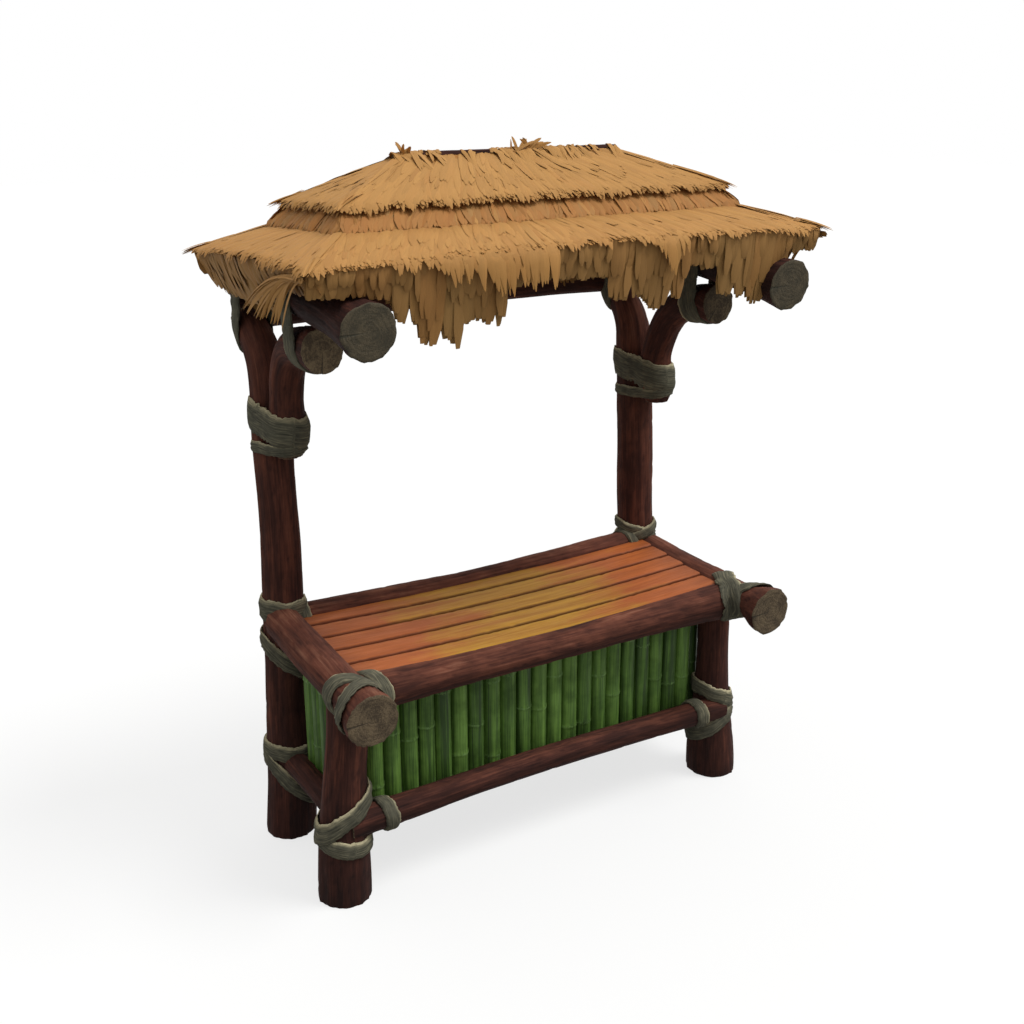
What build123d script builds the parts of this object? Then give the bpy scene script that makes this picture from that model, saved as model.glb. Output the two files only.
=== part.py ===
from build123d import *
import math
import os

# Market stall of lashed logs: a counter with a bamboo front, two forked posts
# behind it and a two-tier thatched roof. Units are millimetres, +Z is up, the
# customer side faces -Y and the origin is on the ground under the centre.

# Driving dimensions
foot_x = 856.0
front_foot_y = -257.0
rear_foot_y = 252.0
fork_x = 810.0
arm_tip_y = -188.0
arm_tip_z = 1985.0
tie_beam_y = 509.5
tie_beam_z = 1993.0
side_log_x = 851.0
side_log_tip_y = -552.0
counter_front_z = 873.0
counter_rear_z = 903.0
counter_sag = 20.0
plank_count = 5
plank_pitch = 110.0
plank_gap = 4.0
plank_thickness = 26.0
plank_first_y = -301.0
counter_reach = 800.0
cane_radius = 34.5
cane_pitch = 70.0
cane_foot_z = 300.0
front_cane_count = 21
side_cane_count = 5
front_cane_y = -212.0
rear_cane_y = 168.0
side_cane_x = 786.0
strap = 9.0

# Roof, before it is tipped: heights are above the level of the eave
roof_y = -24.0
roof_z = 2262.0
roof_tip = -3.2
eave_x = 985.0
eave_y = 504.0
neck_foot_x = 785.0
neck_foot_y = 285.0
neck_foot_h = 90.0
neck_top_x = 735.0
neck_top_y = 236.0
upper_edge_x = 752.0
upper_edge_y = 254.0
upper_edge_h = 157.0
ridge_x = 422.0
ridge_h = 300.0
thatch = 46.0
ridge_pole_radius = 16.0
fringe_thickness = 26.0
front_fringe_lean = 9.0
rear_fringe_lean = 20.0
end_fringe_lean = 22.0

os.makedirs("parts", exist_ok=True)
nodes = {}


def round_log(stations, extra=0.0):
    """Loft a round timber through (x, y, z, radius) stations, mitred where it bends."""
    points = [Vector(x, y, z) for x, y, z, _ in stations]
    chord = (points[-1] - points[0]).normalized()
    side = Vector(0, 1, 0) if abs(chord.Y) < 0.7 else Vector(1, 0, 0)
    sections = []
    for i, (_, _, _, radius) in enumerate(stations):
        before = points[max(i - 1, 0)]
        after = points[min(i + 1, len(points) - 1)]
        along = (after - before).normalized()
        across = (side - along * side.dot(along)).normalized()
        plane = Plane(origin=points[i], x_dir=across, z_dir=along)
        sections.append(plane * Circle(radius + extra))
    return loft(sections, ruled=True)


def straight(start, end, girths):
    """Give the stations of a straight timber; girths are (share of length, radius)."""
    a = Vector(*start)
    b = Vector(*end)
    stations = []
    for share, radius in girths:
        p = a + (b - a) * share
        stations.append((p.X, p.Y, p.Z, radius))
    return stations


def mirrored(stations):
    """Give the right-hand twin of a left-hand timber's stations."""
    return [(-x, y, z, r) for x, y, z, r in stations]


def flipped(shape):
    """Mirror a left-hand piece to the right of the stall."""
    return mirror(shape, about=Plane.YZ)


def cut_by(shape, tools):
    """Hollow a piece to the round of the timbers that it bears on."""
    for tool in tools:
        shape = shape - tool
    return shape


def largest(shape):
    """Keep the main body where a cut has left slivers."""
    return shape.solids().sort_by(SortBy.VOLUME)[-1]


def wound(timbers, turns, bodies, thickness=strap):
    """Wind flat straps round timbers; a turn is (centre, normal, width)."""
    grown = round_log(timbers[0], thickness)
    for stations in timbers[1:]:
        grown = grown + round_log(stations, thickness)
    band = None
    for centre, normal, width in turns:
        slab = Plane(origin=Vector(*centre), z_dir=Vector(*normal)) * Box(420, 420, width)
        piece = grown & slab
        band = piece if band is None else band + piece
    return cut_by(band, bodies)


# Centre lines of the forked posts, from the ground to the rear arm's tip
rear_post_lines = {
    "left": [
        (-foot_x, rear_foot_y, -25, 99),
        (-849, 253, 110, 95),
        (-842, 258, 240, 91),
        (-837, 272, 545, 78),
        (-817, 288, 950, 78),
        (-813, 290, 1290, 72),
        (-814, 305, 1604, 72),
        (-812, 306, 1760, 70),
        (-812, 330, 1850, 67),
        (-812, 400, 1925, 62),
        (-811, 458, 1962, 58),
        (-fork_x, tie_beam_y, 1984, 55),
    ],
    "right": [
        (foot_x, rear_foot_y, -25, 99),
        (849, 253, 110, 95),
        (842, 258, 240, 91),
        (838, 272, 545, 80),
        (820, 288, 950, 77),
        (806, 288, 1290, 75),
        (800, 300, 1589, 74),
        (800, 310, 1715, 72),
        (800, 326, 1823, 68),
        (802, 368, 1886, 64),
        (806, 440, 1942, 59),
        (fork_x, tie_beam_y, 1982, 55),
    ],
}
fork_limb_lines = {
    "left": [
        (-802, 170, 1545, 46),
        (-802, 170, 1575, 58),
        (-800, 173, 1758, 60),
        (-800, 142, 1862, 60),
        (-803, 80, 1935, 62),
        (-807, 0, 1968, 64),
        (-810, -100, 1981, 69),
        (-fork_x, arm_tip_y, arm_tip_z, 77),
    ],
    "right": [
        (808, 150, 1532, 46),
        (808, 152, 1562, 58),
        (808, 161, 1742, 61),
        (808, 128, 1820, 61),
        (808, 80, 1893, 62),
        (810, 15, 1945, 64),
        (815, -90, 1976, 69),
        (819, arm_tip_y, 1983, 77),
    ],
}
front_post_lines = {
    "left": [
        (-foot_x, front_foot_y, -25, 98),
        (-851, front_foot_y, 190, 95),
        (-836, front_foot_y, 440, 79),
        (-817, front_foot_y, 660, 73),
        (-815, front_foot_y, 834, 71),
    ],
    "right": [
        (foot_x, front_foot_y, -25, 103),
        (846, front_foot_y, 130, 97),
        (839, front_foot_y, 350, 72),
        (829, front_foot_y, 660, 63),
        (826, front_foot_y, 822, 62),
    ],
}
counter_log_lines = {
    "left": straight(
        (-side_log_x, side_log_tip_y, 841),
        (-846, 240, 884),
        [(0, 95), (0.055, 88), (0.15, 76), (0.45, 70), (1, 67)],
    ),
    "right": straight(
        (856, side_log_tip_y, 833),
        (846, 240, 852),
        [(0, 95), (0.05, 86), (0.13, 66), (0.45, 58), (1, 58)],
    ),
}
roof_log_line = [
    (-819, -558, 2109, 93),
    (-819, -500, 2115, 85),
    (-818, -390, 2126, 76),
    (-816, -186, 2139, 72),
    (-814, 60, 2148, 64),
    (-812, 300, 2137, 56),
    (-811, 430, 2114, 52),
    (-fork_x, tie_beam_y + 48, 2086, 50),
]
roof_log_lines = {
    "left": roof_log_line,
    "right": [(x + 10, y, z - 3, r) for x, y, z, r in mirrored(roof_log_line)],
}

below_ground = Pos(0, 0, -100) * Box(2400, 1200, 200)
rear_posts = {side: round_log(line) - below_ground for side, line in rear_post_lines.items()}
front_posts = {side: round_log(line) - below_ground for side, line in front_post_lines.items()}
fork_limbs = {side: round_log(line) for side, line in fork_limb_lines.items()}
counter_logs = {side: round_log(line) for side, line in counter_log_lines.items()}
roof_logs = {side: round_log(line) for side, line in roof_log_lines.items()}

# Long timbers across the stall; each is a little stouter at its lashed ends
tie_beam_line = [
    (-838, tie_beam_y, tie_beam_z - 2, 58),
    (-500, tie_beam_y, tie_beam_z, 51),
    (0, tie_beam_y, tie_beam_z + 2, 48),
    (500, tie_beam_y, tie_beam_z, 51),
    (838, tie_beam_y, tie_beam_z - 2, 58),
]
purlin_front_line = straight((-880, -390, 2226), (880, -390, 2226), [(0, 36), (0.5, 33), (1, 36)])
purlin_rear_line = straight((-880, 270, 2214), (880, 270, 2214), [(0, 35), (0.5, 32), (1, 35)])
front_rail_line = [
    (-850, -320, 812, 75),
    (-700, -320, 812, 66),
    (-350, -320, 807, 57),
    (0, -320, 803, 55),
    (350, -320, 805, 58),
    (700, -320, 807, 69),
    (838, -320, 806, 75),
]
rear_rail_line = [
    (-820, 262, 880, 54),
    (-400, 262, 866, 52),
    (0, 262, 858, 51),
    (400, 262, 866, 52),
    (820, 262, 880, 54),
]
bottom_front_line = [
    (-850, -301, 304, 55),
    (-600, -301, 313, 50),
    (0, -301, 324, 47),
    (600, -301, 313, 48),
    (850, -301, 304, 51),
]
bottom_rear_line = [(x, 240, z, r) for x, _, z, r in bottom_front_line]
bottom_side_line = [(-848, -262, 312, 48), (-848, 10, 316, 45), (-844, 280, 312, 48)]

tie_beam = round_log(tie_beam_line)
purlin_front = round_log(purlin_front_line)
purlin_rear = round_log(purlin_rear_line)
front_rail = round_log(front_rail_line)
rear_rail = round_log(rear_rail_line)
bottom_front = round_log(bottom_front_line)
bottom_rear = round_log(bottom_rear_line)
bottom_left = round_log(bottom_side_line)
bottom_right = flipped(bottom_left)
purlin_front = cut_by(purlin_front, roof_logs.values())
purlin_rear = cut_by(purlin_rear, roof_logs.values())

# Saddles: a timber's end or side is hollowed to the round of the one it bears on
for side in ("left", "right"):
    post = cut_by(rear_posts[side], [tie_beam])
    nodes[f"rear_post_{side}"] = largest(post)
    nodes[f"front_post_{side}"] = largest(front_posts[side] - counter_logs[side])
    limb = cut_by(fork_limbs[side], [rear_posts[side], roof_logs[side]])
    nodes[f"fork_limb_{side}"] = largest(limb)
    nodes[f"counter_side_log_{side}"] = largest(counter_logs[side] - rear_posts[side])
    nodes[f"roof_side_log_{side}"] = largest(cut_by(roof_logs[side], [tie_beam, rear_posts[side]]))

front_rail = largest(cut_by(front_rail, [*counter_logs.values(), *front_posts.values()]))
rear_rail = largest(cut_by(rear_rail, [*counter_logs.values(), *rear_posts.values()]))
bottom_front = largest(cut_by(bottom_front, front_posts.values()))
bottom_rear = largest(cut_by(bottom_rear, rear_posts.values()))
bottom_timbers = [bottom_front, bottom_rear, *front_posts.values(), *rear_posts.values()]
nodes["tie_beam_rear"] = tie_beam
nodes["roof_beam_front"] = largest(purlin_front)
nodes["roof_beam_rear"] = largest(purlin_rear)
nodes["counter_rail_front"] = front_rail
nodes["counter_rail_rear"] = rear_rail
nodes["bottom_rail_front"] = bottom_front
nodes["bottom_rail_rear"] = bottom_rear
nodes["bottom_rail_left"] = largest(cut_by(bottom_left, bottom_timbers))
nodes["bottom_rail_right"] = largest(cut_by(bottom_right, bottom_timbers))


def sagging_board(y, top_z, width):
    """Bend one board down in the middle of its span, from its front edge at y."""
    low_z = top_z - plank_thickness
    top_arc = ThreePointArc((-counter_reach, top_z), (0, top_z - counter_sag), (counter_reach, top_z))
    low_arc = ThreePointArc((-counter_reach, low_z), (0, low_z - counter_sag), (counter_reach, low_z))
    left_end = Line((-counter_reach, low_z), (-counter_reach, top_z))
    right_end = Line((counter_reach, top_z), (counter_reach, low_z))
    face = make_face(Plane.XZ * (Curve() + [top_arc, right_end, low_arc, left_end]))
    return Pos(0, y, 0) * extrude(face, width, dir=(0, 1, 0))


# Counter planks step up to the rear and sag a little in the middle of the span
plank_tools = [
    round_log(front_rail_line),
    round_log(rear_rail_line),
    *counter_logs.values(),
    *rear_posts.values(),
]
plank_rise = (counter_rear_z - counter_front_z) / plank_count
for i in range(plank_count):
    board = sagging_board(
        plank_first_y + i * plank_pitch,
        counter_front_z + (i + 0.5) * plank_rise,
        plank_pitch - plank_gap,
    )
    nodes[f"counter_plank_{i + 1}"] = largest(cut_by(board, plank_tools))

# Bamboo panels: upright canes side by side behind the rails
cane_top_z = counter_front_z - plank_thickness - counter_sag - 6.0


def cane_row(count, place):
    """Stand a row of canes; `place` gives the plan position of a cane by its offset."""
    row = []
    for i in range(count):
        x, y = place((i - (count - 1) / 2) * cane_pitch)
        height = cane_top_z - cane_foot_z
        row.append(Pos(x, y, cane_foot_z + height / 2) * Cylinder(cane_radius, height))
    return row


def trimmed(canes, tools):
    """Cut each cane where a timber passes and keep them as one compound."""
    return Compound(children=[largest(cut_by(cane, tools)) for cane in canes])


front_canes = cane_row(front_cane_count, lambda offset: (offset, front_cane_y))
rear_canes = cane_row(front_cane_count, lambda offset: (offset, rear_cane_y))
left_canes = cane_row(side_cane_count, lambda offset: (-side_cane_x, offset - 20.0))
right_canes = cane_row(side_cane_count, lambda offset: (side_cane_x, offset - 20.0))
nodes["bamboo_panel_front"] = trimmed(front_canes, [front_rail, bottom_front])
nodes["bamboo_panel_rear"] = trimmed(rear_canes, [rear_rail, bottom_rear])
for side, canes, rail in (("left", left_canes, bottom_left), ("right", right_canes, bottom_right)):
    tools = [rail, counter_logs[side], front_posts[side], rear_posts[side]]
    nodes[f"bamboo_panel_{side}"] = trimmed(canes, tools)


def tier(low_x, low_y, low_h, high_x, high_y, high_h):
    """Make a hipped block that narrows from a lower to an upper rectangle."""
    low = Plane.XY.offset(low_h) * Rectangle(2 * low_x, 2 * low_y)
    high = Plane.XY.offset(high_h) * Rectangle(2 * high_x, 2 * high_y)
    return loft([low, high], ruled=True)


# Thatch: a lower skirt, a flared neck, an upper hipped tier and the ridge pole
roof_place = Pos(0, roof_y, roof_z) * Rot(roof_tip, 0, 0)
well = Box(2 * neck_top_x - 90, 2 * neck_top_y - 90, 3000)
skirt = tier(eave_x, eave_y, 0, neck_foot_x, neck_foot_y, neck_foot_h)
skirt = skirt - tier(
    eave_x - 24, eave_y - 24, -thatch, neck_foot_x - 24, neck_foot_y - 24, neck_foot_h - thatch
)
skirt = skirt - well
neck = tier(neck_foot_x, neck_foot_y, neck_foot_h, neck_top_x, neck_top_y, upper_edge_h)
neck = neck - well
crown = tier(upper_edge_x, upper_edge_y, upper_edge_h, ridge_x, 10, ridge_h)
crown = crown - tier(
    upper_edge_x - 70, upper_edge_y - 70, upper_edge_h - 5, ridge_x - 70, 2, ridge_h - thatch - 22
)
ridge_pole = Pos(0, 0, ridge_h - 4) * Rot(0, 90, 0) * Cylinder(ridge_pole_radius, 2 * ridge_x + 50)
crown = crown - ridge_pole
roof_timbers = [*roof_logs.values(), purlin_front, purlin_rear]
nodes["thatch_lower_tier"] = largest(cut_by(roof_place * skirt, roof_timbers))
nodes["thatch_neck"] = largest(roof_place * neck)
nodes["thatch_upper_tier"] = largest(roof_place * crown)
nodes["ridge_pole"] = roof_place * ridge_pole


def fringe_face(half_length, tips):
    """Draw a hanging fringe along X; tips are (x, drop) points of its ragged lower edge."""
    points = [(-half_length, 8)]
    points += [(x, -drop) for x, drop in tips]
    points.append((half_length, 8))
    return make_face(Plane.XZ * Polyline(*points, close=True))


front_tips = [
    (-978, 84),
    (-735, 98),
    (-680, 180),
    (-610, 236),
    (-490, 280),
    (-472, 206),
    (-335, 232),
    (-320, 104),
    (80, 106),
    (95, 176),
    (215, 186),
    (235, 216),
    (375, 226),
    (395, 102),
    (535, 112),
    (552, 226),
    (705, 250),
    (830, 238),
    (842, 92),
    (978, 84),
]
end_tips = [(-448, 90), (-440, 112), (-180, 165), (-90, 178), (40, 200), (190, 232), (330, 214), (448, 200)]
front_sheet = extrude(fringe_face(eave_x - 6, front_tips), fringe_thickness, dir=(0, 1, 0))
end_sheet = extrude(fringe_face(eave_y - 54, end_tips), fringe_thickness, dir=(0, 1, 0))
fringe_tools = [*roof_logs.values(), *rear_posts.values(), tie_beam, purlin_front, purlin_rear]
fringe_tools.append(roof_place * skirt)
front_hang = Pos(0, -eave_y + 4, 0) * Rot(front_fringe_lean, 0, 0) * front_sheet
rear_hang = Rot(0, 0, 180) * Pos(0, -eave_y + 4, 0) * Rot(rear_fringe_lean, 0, 0) * front_sheet
left_hang = Pos(-eave_x + 4, 0, 0) * Rot(0, -end_fringe_lean, 0) * Rot(0, 0, -90) * end_sheet
right_hang = Pos(eave_x - 4, 0, 0) * Rot(0, end_fringe_lean, 0) * Rot(0, 0, 90) * flipped(end_sheet)
nodes["thatch_fringe_front"] = largest(cut_by(roof_place * front_hang, fringe_tools))
nodes["thatch_fringe_rear"] = largest(cut_by(roof_place * rear_hang, fringe_tools))
nodes["thatch_fringe_left"] = largest(cut_by(roof_place * left_hang, fringe_tools))
nodes["thatch_fringe_right"] = largest(cut_by(roof_place * right_hang, fringe_tools))


def gathered(shapes):
    """Put the like lashings of both ends of the stall in one node."""
    return Compound(children=[s for shape in shapes for s in shape.solids()])


# Lashings: flat straps wound where timbers cross
tips = []
front_corners = []
rear_corners = []
front_feet = []
rear_feet = []
for side, sign in (("left", -1), ("right", 1)):
    post_line = rear_post_lines[side]
    limb_line = fork_limb_lines[side]
    front_line = front_post_lines[side]
    bodies = [rear_posts[side], fork_limbs[side]]
    fork_turn = ((sign * 806, 235, 1620), (0, 0.12, 1), 185)
    band = wound([post_line, limb_line], [fork_turn], bodies)
    nodes[f"fork_band_{side}"] = largest(band)
    arm_turn = ((sign * fork_x, -70, 1980), (0, 1, -0.15), 62)
    tips.append(wound([limb_line], [arm_turn], [fork_limbs[side], roof_logs[side]]))
    tail_turn = ((sign * fork_x, 428, 1940), (0, 1, 0.6), 96)
    tips.append(wound([post_line], [tail_turn], [rear_posts[side], tie_beam, roof_logs[side]]))
    log_turns = [
        ((sign * side_log_x, -420, 850), (0.25 * sign, 1, 0.15), 52),
        ((sign * side_log_x, -440, 845), (-0.55 * sign, 1, 0.1), 36),
    ]
    front_tools = [counter_logs[side], front_posts[side], front_rail, nodes["counter_plank_1"]]
    front_corners.append(wound([counter_log_lines[side]], log_turns, front_tools))
    post_turns = [
        ((sign * 822, 288, 868), (0.12 * sign, 0.2, 1), 58),
        ((sign * 824, 286, 770), (-0.4 * sign, 0.3, 1), 44),
    ]
    rear_tools = [rear_posts[side], counter_logs[side], rear_rail, nodes["counter_plank_5"]]
    rear_corners.append(wound([post_line], post_turns, rear_tools))
    foot_turns = [
        ((sign * 848, front_foot_y, 285), (0.45 * sign, 0, 1), 42),
        ((sign * 848, front_foot_y, 235), (-0.4 * sign, 0, 1), 36),
    ]
    side_pieces = [nodes[f"bottom_rail_{side}"], nodes[f"bamboo_panel_{side}"]]
    front_feet.append(wound([front_line], foot_turns, [front_posts[side], bottom_front, *side_pieces]))
    rear_turns = [
        ((sign * 842, 258, 300), (0.45 * sign, 0, 1), 42),
        ((sign * 844, 256, 235), (-0.4 * sign, 0, 1), 36),
    ]
    rear_feet.append(wound([post_line], rear_turns, [rear_posts[side], bottom_rear, *side_pieces]))
nodes["fork_tip_lashings"] = gathered(tips)
nodes["counter_lashings_front"] = gathered(front_corners)
nodes["counter_lashings_rear"] = gathered(rear_corners)
nodes["foot_lashings_front"] = gathered(front_feet)
nodes["foot_lashings_rear"] = gathered(rear_feet)

for name, shape in nodes.items():
    export_step(shape, f"parts/{name}.step")
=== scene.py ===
"""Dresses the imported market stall: hewn poles, boards, bamboo, straw thatch and fibre straps."""
import math
from collections import namedtuple
from functools import partial
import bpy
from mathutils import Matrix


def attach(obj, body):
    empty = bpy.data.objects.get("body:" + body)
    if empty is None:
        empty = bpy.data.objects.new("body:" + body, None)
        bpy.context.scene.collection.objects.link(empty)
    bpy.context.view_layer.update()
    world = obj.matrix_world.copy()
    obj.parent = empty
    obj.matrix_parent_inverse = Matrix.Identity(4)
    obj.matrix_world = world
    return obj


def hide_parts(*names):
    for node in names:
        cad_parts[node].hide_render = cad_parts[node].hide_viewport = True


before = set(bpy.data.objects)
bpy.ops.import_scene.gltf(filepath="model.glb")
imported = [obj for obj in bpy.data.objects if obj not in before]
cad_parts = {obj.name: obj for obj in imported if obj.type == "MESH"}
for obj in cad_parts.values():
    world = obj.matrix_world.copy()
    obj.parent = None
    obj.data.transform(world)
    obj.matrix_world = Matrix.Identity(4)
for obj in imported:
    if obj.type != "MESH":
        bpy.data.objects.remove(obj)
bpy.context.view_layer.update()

from types import SimpleNamespace

import bpy
import numpy as np
from mathutils import Vector, noise

bl_info = {
    "name": "Thatched Market Stall",
    "version": (1, 0, 0),
    "blender": (4, 5, 0),
    "location": "View3D > Sidebar > Stall",
    "description": "Builds a market stall of lashed poles with a bamboo front and a thatched roof",
    "category": "Add Mesh",
}

MM = 0.001
# Half the floor's width in metres
FLOOR_HALF = 30.0
# Camera's sensor in millimetres, and its focal length and the picture's width in pixels
SENSOR = 36.0
FOCAL_PIXELS = 1270.7
PICTURE_WIDTH = 1024


def copied(stations, mirror=1, x=0, y=0, z=0, radius=0):
    """Repeat the stations of a timber at another place, or mirrored."""
    return [(mirror * a + x, b + y, c + z, r + radius) for a, b, c, r in stations]


# Centre lines of the timbers: x, y, z and radius in millimetres
FORK_X = 810
TIE_Y = 509.5
ROOF_LOG = [
    (-819, -558, 2109, 93), (-819, -500, 2115, 85), (-818, -390, 2126, 76), (-816, -186, 2139, 72),
    (-814, 60, 2148, 64), (-812, 300, 2137, 56), (-811, 430, 2114, 52), (-810, 557.5, 2086, 50),
]
ROOF_BEAM = [(-880, -390, 2226, 36), (0, -390, 2226, 33), (880, -390, 2226, 36)]
LONG_RAIL = [
    (-850, -301, 304, 55), (-600, -301, 313, 50), (0, -301, 324, 47), (600, -301, 313, 48), (850, -301, 304, 51),
]
SHORT_RAIL = [(-848, -262, 312, 48), (-848, 10, 316, 45), (-844, 280, 312, 48)]
POLES = {
    "rear_post_left": [
        (-856, 252, 0, 98), (-849, 253, 110, 95), (-842, 258, 240, 91), (-837, 272, 545, 78),
        (-817, 288, 950, 78), (-813, 290, 1290, 72), (-814, 305, 1604, 72), (-812, 306, 1760, 70),
        (-812, 330, 1850, 67), (-812, 400, 1925, 62), (-811, 458, 1962, 58), (-FORK_X, TIE_Y, 1984, 55),
    ],
    "rear_post_right": [
        (856, 252, 0, 98), (849, 253, 110, 95), (842, 258, 240, 91), (838, 272, 545, 80),
        (820, 288, 950, 77), (806, 288, 1290, 75), (800, 300, 1589, 74), (800, 310, 1715, 72),
        (800, 326, 1823, 68), (802, 368, 1886, 64), (806, 440, 1942, 59), (FORK_X, TIE_Y, 1982, 55),
    ],
    "fork_limb_left": [
        (-802, 170, 1545, 46), (-802, 170, 1575, 58), (-800, 173, 1758, 60), (-800, 142, 1862, 60),
        (-803, 80, 1935, 62), (-807, 0, 1968, 64), (-810, -100, 1981, 69), (-FORK_X, -188, 1985, 77),
    ],
    "fork_limb_right": [
        (808, 150, 1532, 46), (808, 152, 1562, 58), (808, 161, 1742, 61), (808, 128, 1820, 61),
        (808, 80, 1893, 62), (810, 15, 1945, 64), (815, -90, 1976, 69), (819, -188, 1983, 77),
    ],
    "front_post_left": [
        (-856, -257, 0, 97), (-851, -257, 190, 95), (-836, -257, 440, 79), (-817, -257, 660, 73),
        (-815, -257, 834, 71),
    ],
    "front_post_right": [
        (856, -257, 0, 102), (846, -257, 130, 97), (839, -257, 350, 72), (829, -257, 660, 63),
        (826, -257, 822, 62),
    ],
    "counter_side_log_left": [
        (-851, -552, 841, 95), (-851, -508, 843, 88), (-850, -433, 847, 76), (-849, -196, 860, 70),
        (-846, 240, 884, 67),
    ],
    "counter_side_log_right": [
        (856, -552, 833, 95), (856, -512, 834, 86), (855, -449, 835, 66), (852, -196, 842, 58),
        (846, 240, 852, 58),
    ],
    "roof_side_log_left": ROOF_LOG,
    "roof_side_log_right": copied(ROOF_LOG, -1, x=10, z=-3),
    "tie_beam_rear": [
        (-838, TIE_Y, 1991, 58), (-500, TIE_Y, 1993, 51), (0, TIE_Y, 1995, 48), (500, TIE_Y, 1993, 51),
        (838, TIE_Y, 1991, 58),
    ],
    "roof_beam_front": ROOF_BEAM,
    "roof_beam_rear": copied(ROOF_BEAM, y=660, z=-12, radius=-1),
    "counter_rail_front": [
        (-850, -320, 812, 75), (-700, -320, 812, 66), (-350, -320, 807, 57), (0, -320, 803, 55),
        (350, -320, 805, 58), (700, -320, 807, 69), (838, -320, 806, 75),
    ],
    "counter_rail_rear": [
        (-820, 262, 880, 54), (-400, 262, 866, 52), (0, 262, 858, 51), (400, 262, 866, 52),
        (820, 262, 880, 54),
    ],
    "bottom_rail_front": LONG_RAIL,
    "bottom_rail_rear": copied(LONG_RAIL, y=541),
    "bottom_rail_left": SHORT_RAIL,
    "bottom_rail_right": copied(SHORT_RAIL, -1),
    "ridge_pole": [(-446, -7.5, 2557.5, 16), (0, -7.5, 2557.5, 15), (446, -7.5, 2557.5, 16)],
}
FOOT_POLES = ("rear_post_left", "rear_post_right", "front_post_left", "front_post_right")

# Counter boards and bamboo canes, in millimetres
BOARDS = 5
BOARD_HALF_LENGTH = 800
BOARD_FIRST_Y = -301
BOARD_PITCH = 110
BOARD_GAP = 4
BOARD_THICKNESS = 26
BOARD_SAG = 20
BOARD_FRONT_Z = 873
BOARD_REAR_Z = 903
# Shares of a board's width across its worn upper face, and how far the face falls there
BOARD_ACROSS = np.array([0.0, 0.012, 0.035, 0.09, 0.25, 0.5, 0.75, 0.91, 0.965, 0.988, 1.0])
BOARD_FALL = np.array([7.0, 3.2, 1.2, 0.2, 0.0, 0.3, 0.0, 0.2, 1.2, 3.2, 7.0])
CANE_RADIUS = 34.5
CANE_PITCH = 70
CANE_FOOT_Z = 300
CANE_TOP_Z = 821
FRONT_CANES = 21
SIDE_CANES = 5
CANES_FRONT_Y = -212
CANES_REAR_Y = 168
CANES_END_X = 786
CANES_END_Y = -20

# Roof, before it is tipped: half length, half width and height above the eave
SIDES = ("front", "right", "rear", "left")
ROOF_Y = -24
ROOF_Z = 2262
ROOF_TIP = math.radians(-3.2)
EAVE = (985, 504, 0)
NECK_FOOT = (785, 285, 90)
NECK_TOP = (735, 236, 157)
UPPER_EDGE = (752, 254, 157)
RIDGE = (422, 10, 300)
# A slope has a low and a high edge, how far it bulges and how far its middle rises over its ends
LOWER_SLOPE = (EAVE, NECK_FOOT, 3, 20)
NECK_SLOPE = (NECK_FOOT, NECK_TOP, 2, 0)
UPPER_SLOPE = (UPPER_EDGE, RIDGE, 3, 6)
# Radius in which straw that passes the eave turns down, and how near to the hips the laid straw goes
EAVE_FALL = 25.0
HIP_LIMIT = 0.985
# How far down the hanging straw reaches: place along the side, drop
FRONT_TIPS = [
    (-978, 84), (-735, 98), (-680, 180), (-610, 236), (-490, 280), (-472, 206), (-335, 232),
    (-320, 104), (80, 106), (95, 176), (215, 186), (235, 216), (375, 226), (395, 102), (535, 112),
    (552, 226), (705, 250), (830, 238), (842, 92), (978, 84),
]
END_TIPS = [
    (-500, 70), (-440, 84), (-300, 92), (-160, 108), (-60, 140), (30, 176), (190, 186), (330, 176), (500, 140),
]
# How far the light top straw reaches over the eave: place along the side, reach
FRONT_OVERHANG = [
    (-985, 4), (-720, 4), (-694, 10), (-596, 38), (-528, 66), (-424, 92), (-176, 128), (-150, 124),
    (-134, 4), (201, 4), (236, 10), (309, 88), (352, 60), (396, 10), (432, 4), (985, 4),
]
END_OVERHANG = [(-504, 6), (504, 6)]
UPPER_OVERHANG = [(-752, 0), (752, 0)]
# Tips of the loose straw that stands up over the ridge: x, y, z in the stall's frame
RIDGE_TUFTS = [
    [(-452, -30, 2600), (-444, -14, 2606), (-430, -40, 2594), (-418, -24, 2600), (-400, -36, 2592),
     (-388, -16, 2584)],
    [(-14, -34, 2604), (4, -12, 2612), (26, -30, 2603), (44, -20, 2607), (64, -12, 2602), (92, -30, 2596),
     (118, -24, 2604), (136, -10, 2590), (160, -24, 2588)],
]
# Spans of the ridge and the spacing of the straw over them, with the pole bare where it is wide
RIDGE_SPANS = ((-452, -290, 4), (-290, -60, 20), (-60, 305, 4), (305, 405, 22), (405, 446, 5))

# How straw is laid: spacing, length and width of its blades in millimetres, where it lies between sunned (0)
# and shaded (1), how far tips lift, and how uneven its shade and its twist are
Straw = namedtuple("Straw", "spacing length width shade lift uneven")
# Width along a blade, as shares of its length and of its full width
LAID = ([0, 0.25, 0.6, 0.84, 1], [0.75, 1.0, 1.0, 0.76, 0.16])
HUNG = ([0, 0.3, 0.75, 0.93, 1], [0.85, 1.0, 1.0, 0.82, 0.4])
TOOTH = ([0, 0.4, 0.74, 1], [0.9, 1.0, 0.86, 0.1])


def linear(hex_colour):
    """Turn an sRGB hex colour to linear red, green and blue."""
    parts = [int(hex_colour[i:i + 2], 16) / 255 for i in (1, 3, 5)]
    return tuple(c / 12.92 if c <= 0.04045 else ((c + 0.055) / 1.055) ** 2.4 for c in parts)


def unit(vectors):
    """Scale vectors to a length of one."""
    return vectors / (np.linalg.norm(vectors, axis=-1, keepdims=True) + 1e-12)


def rows(x, y, z):
    """Join three arrays that fit each other to rows of three."""
    return np.stack(np.broadcast_arrays(x, y, z), -1)


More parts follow.
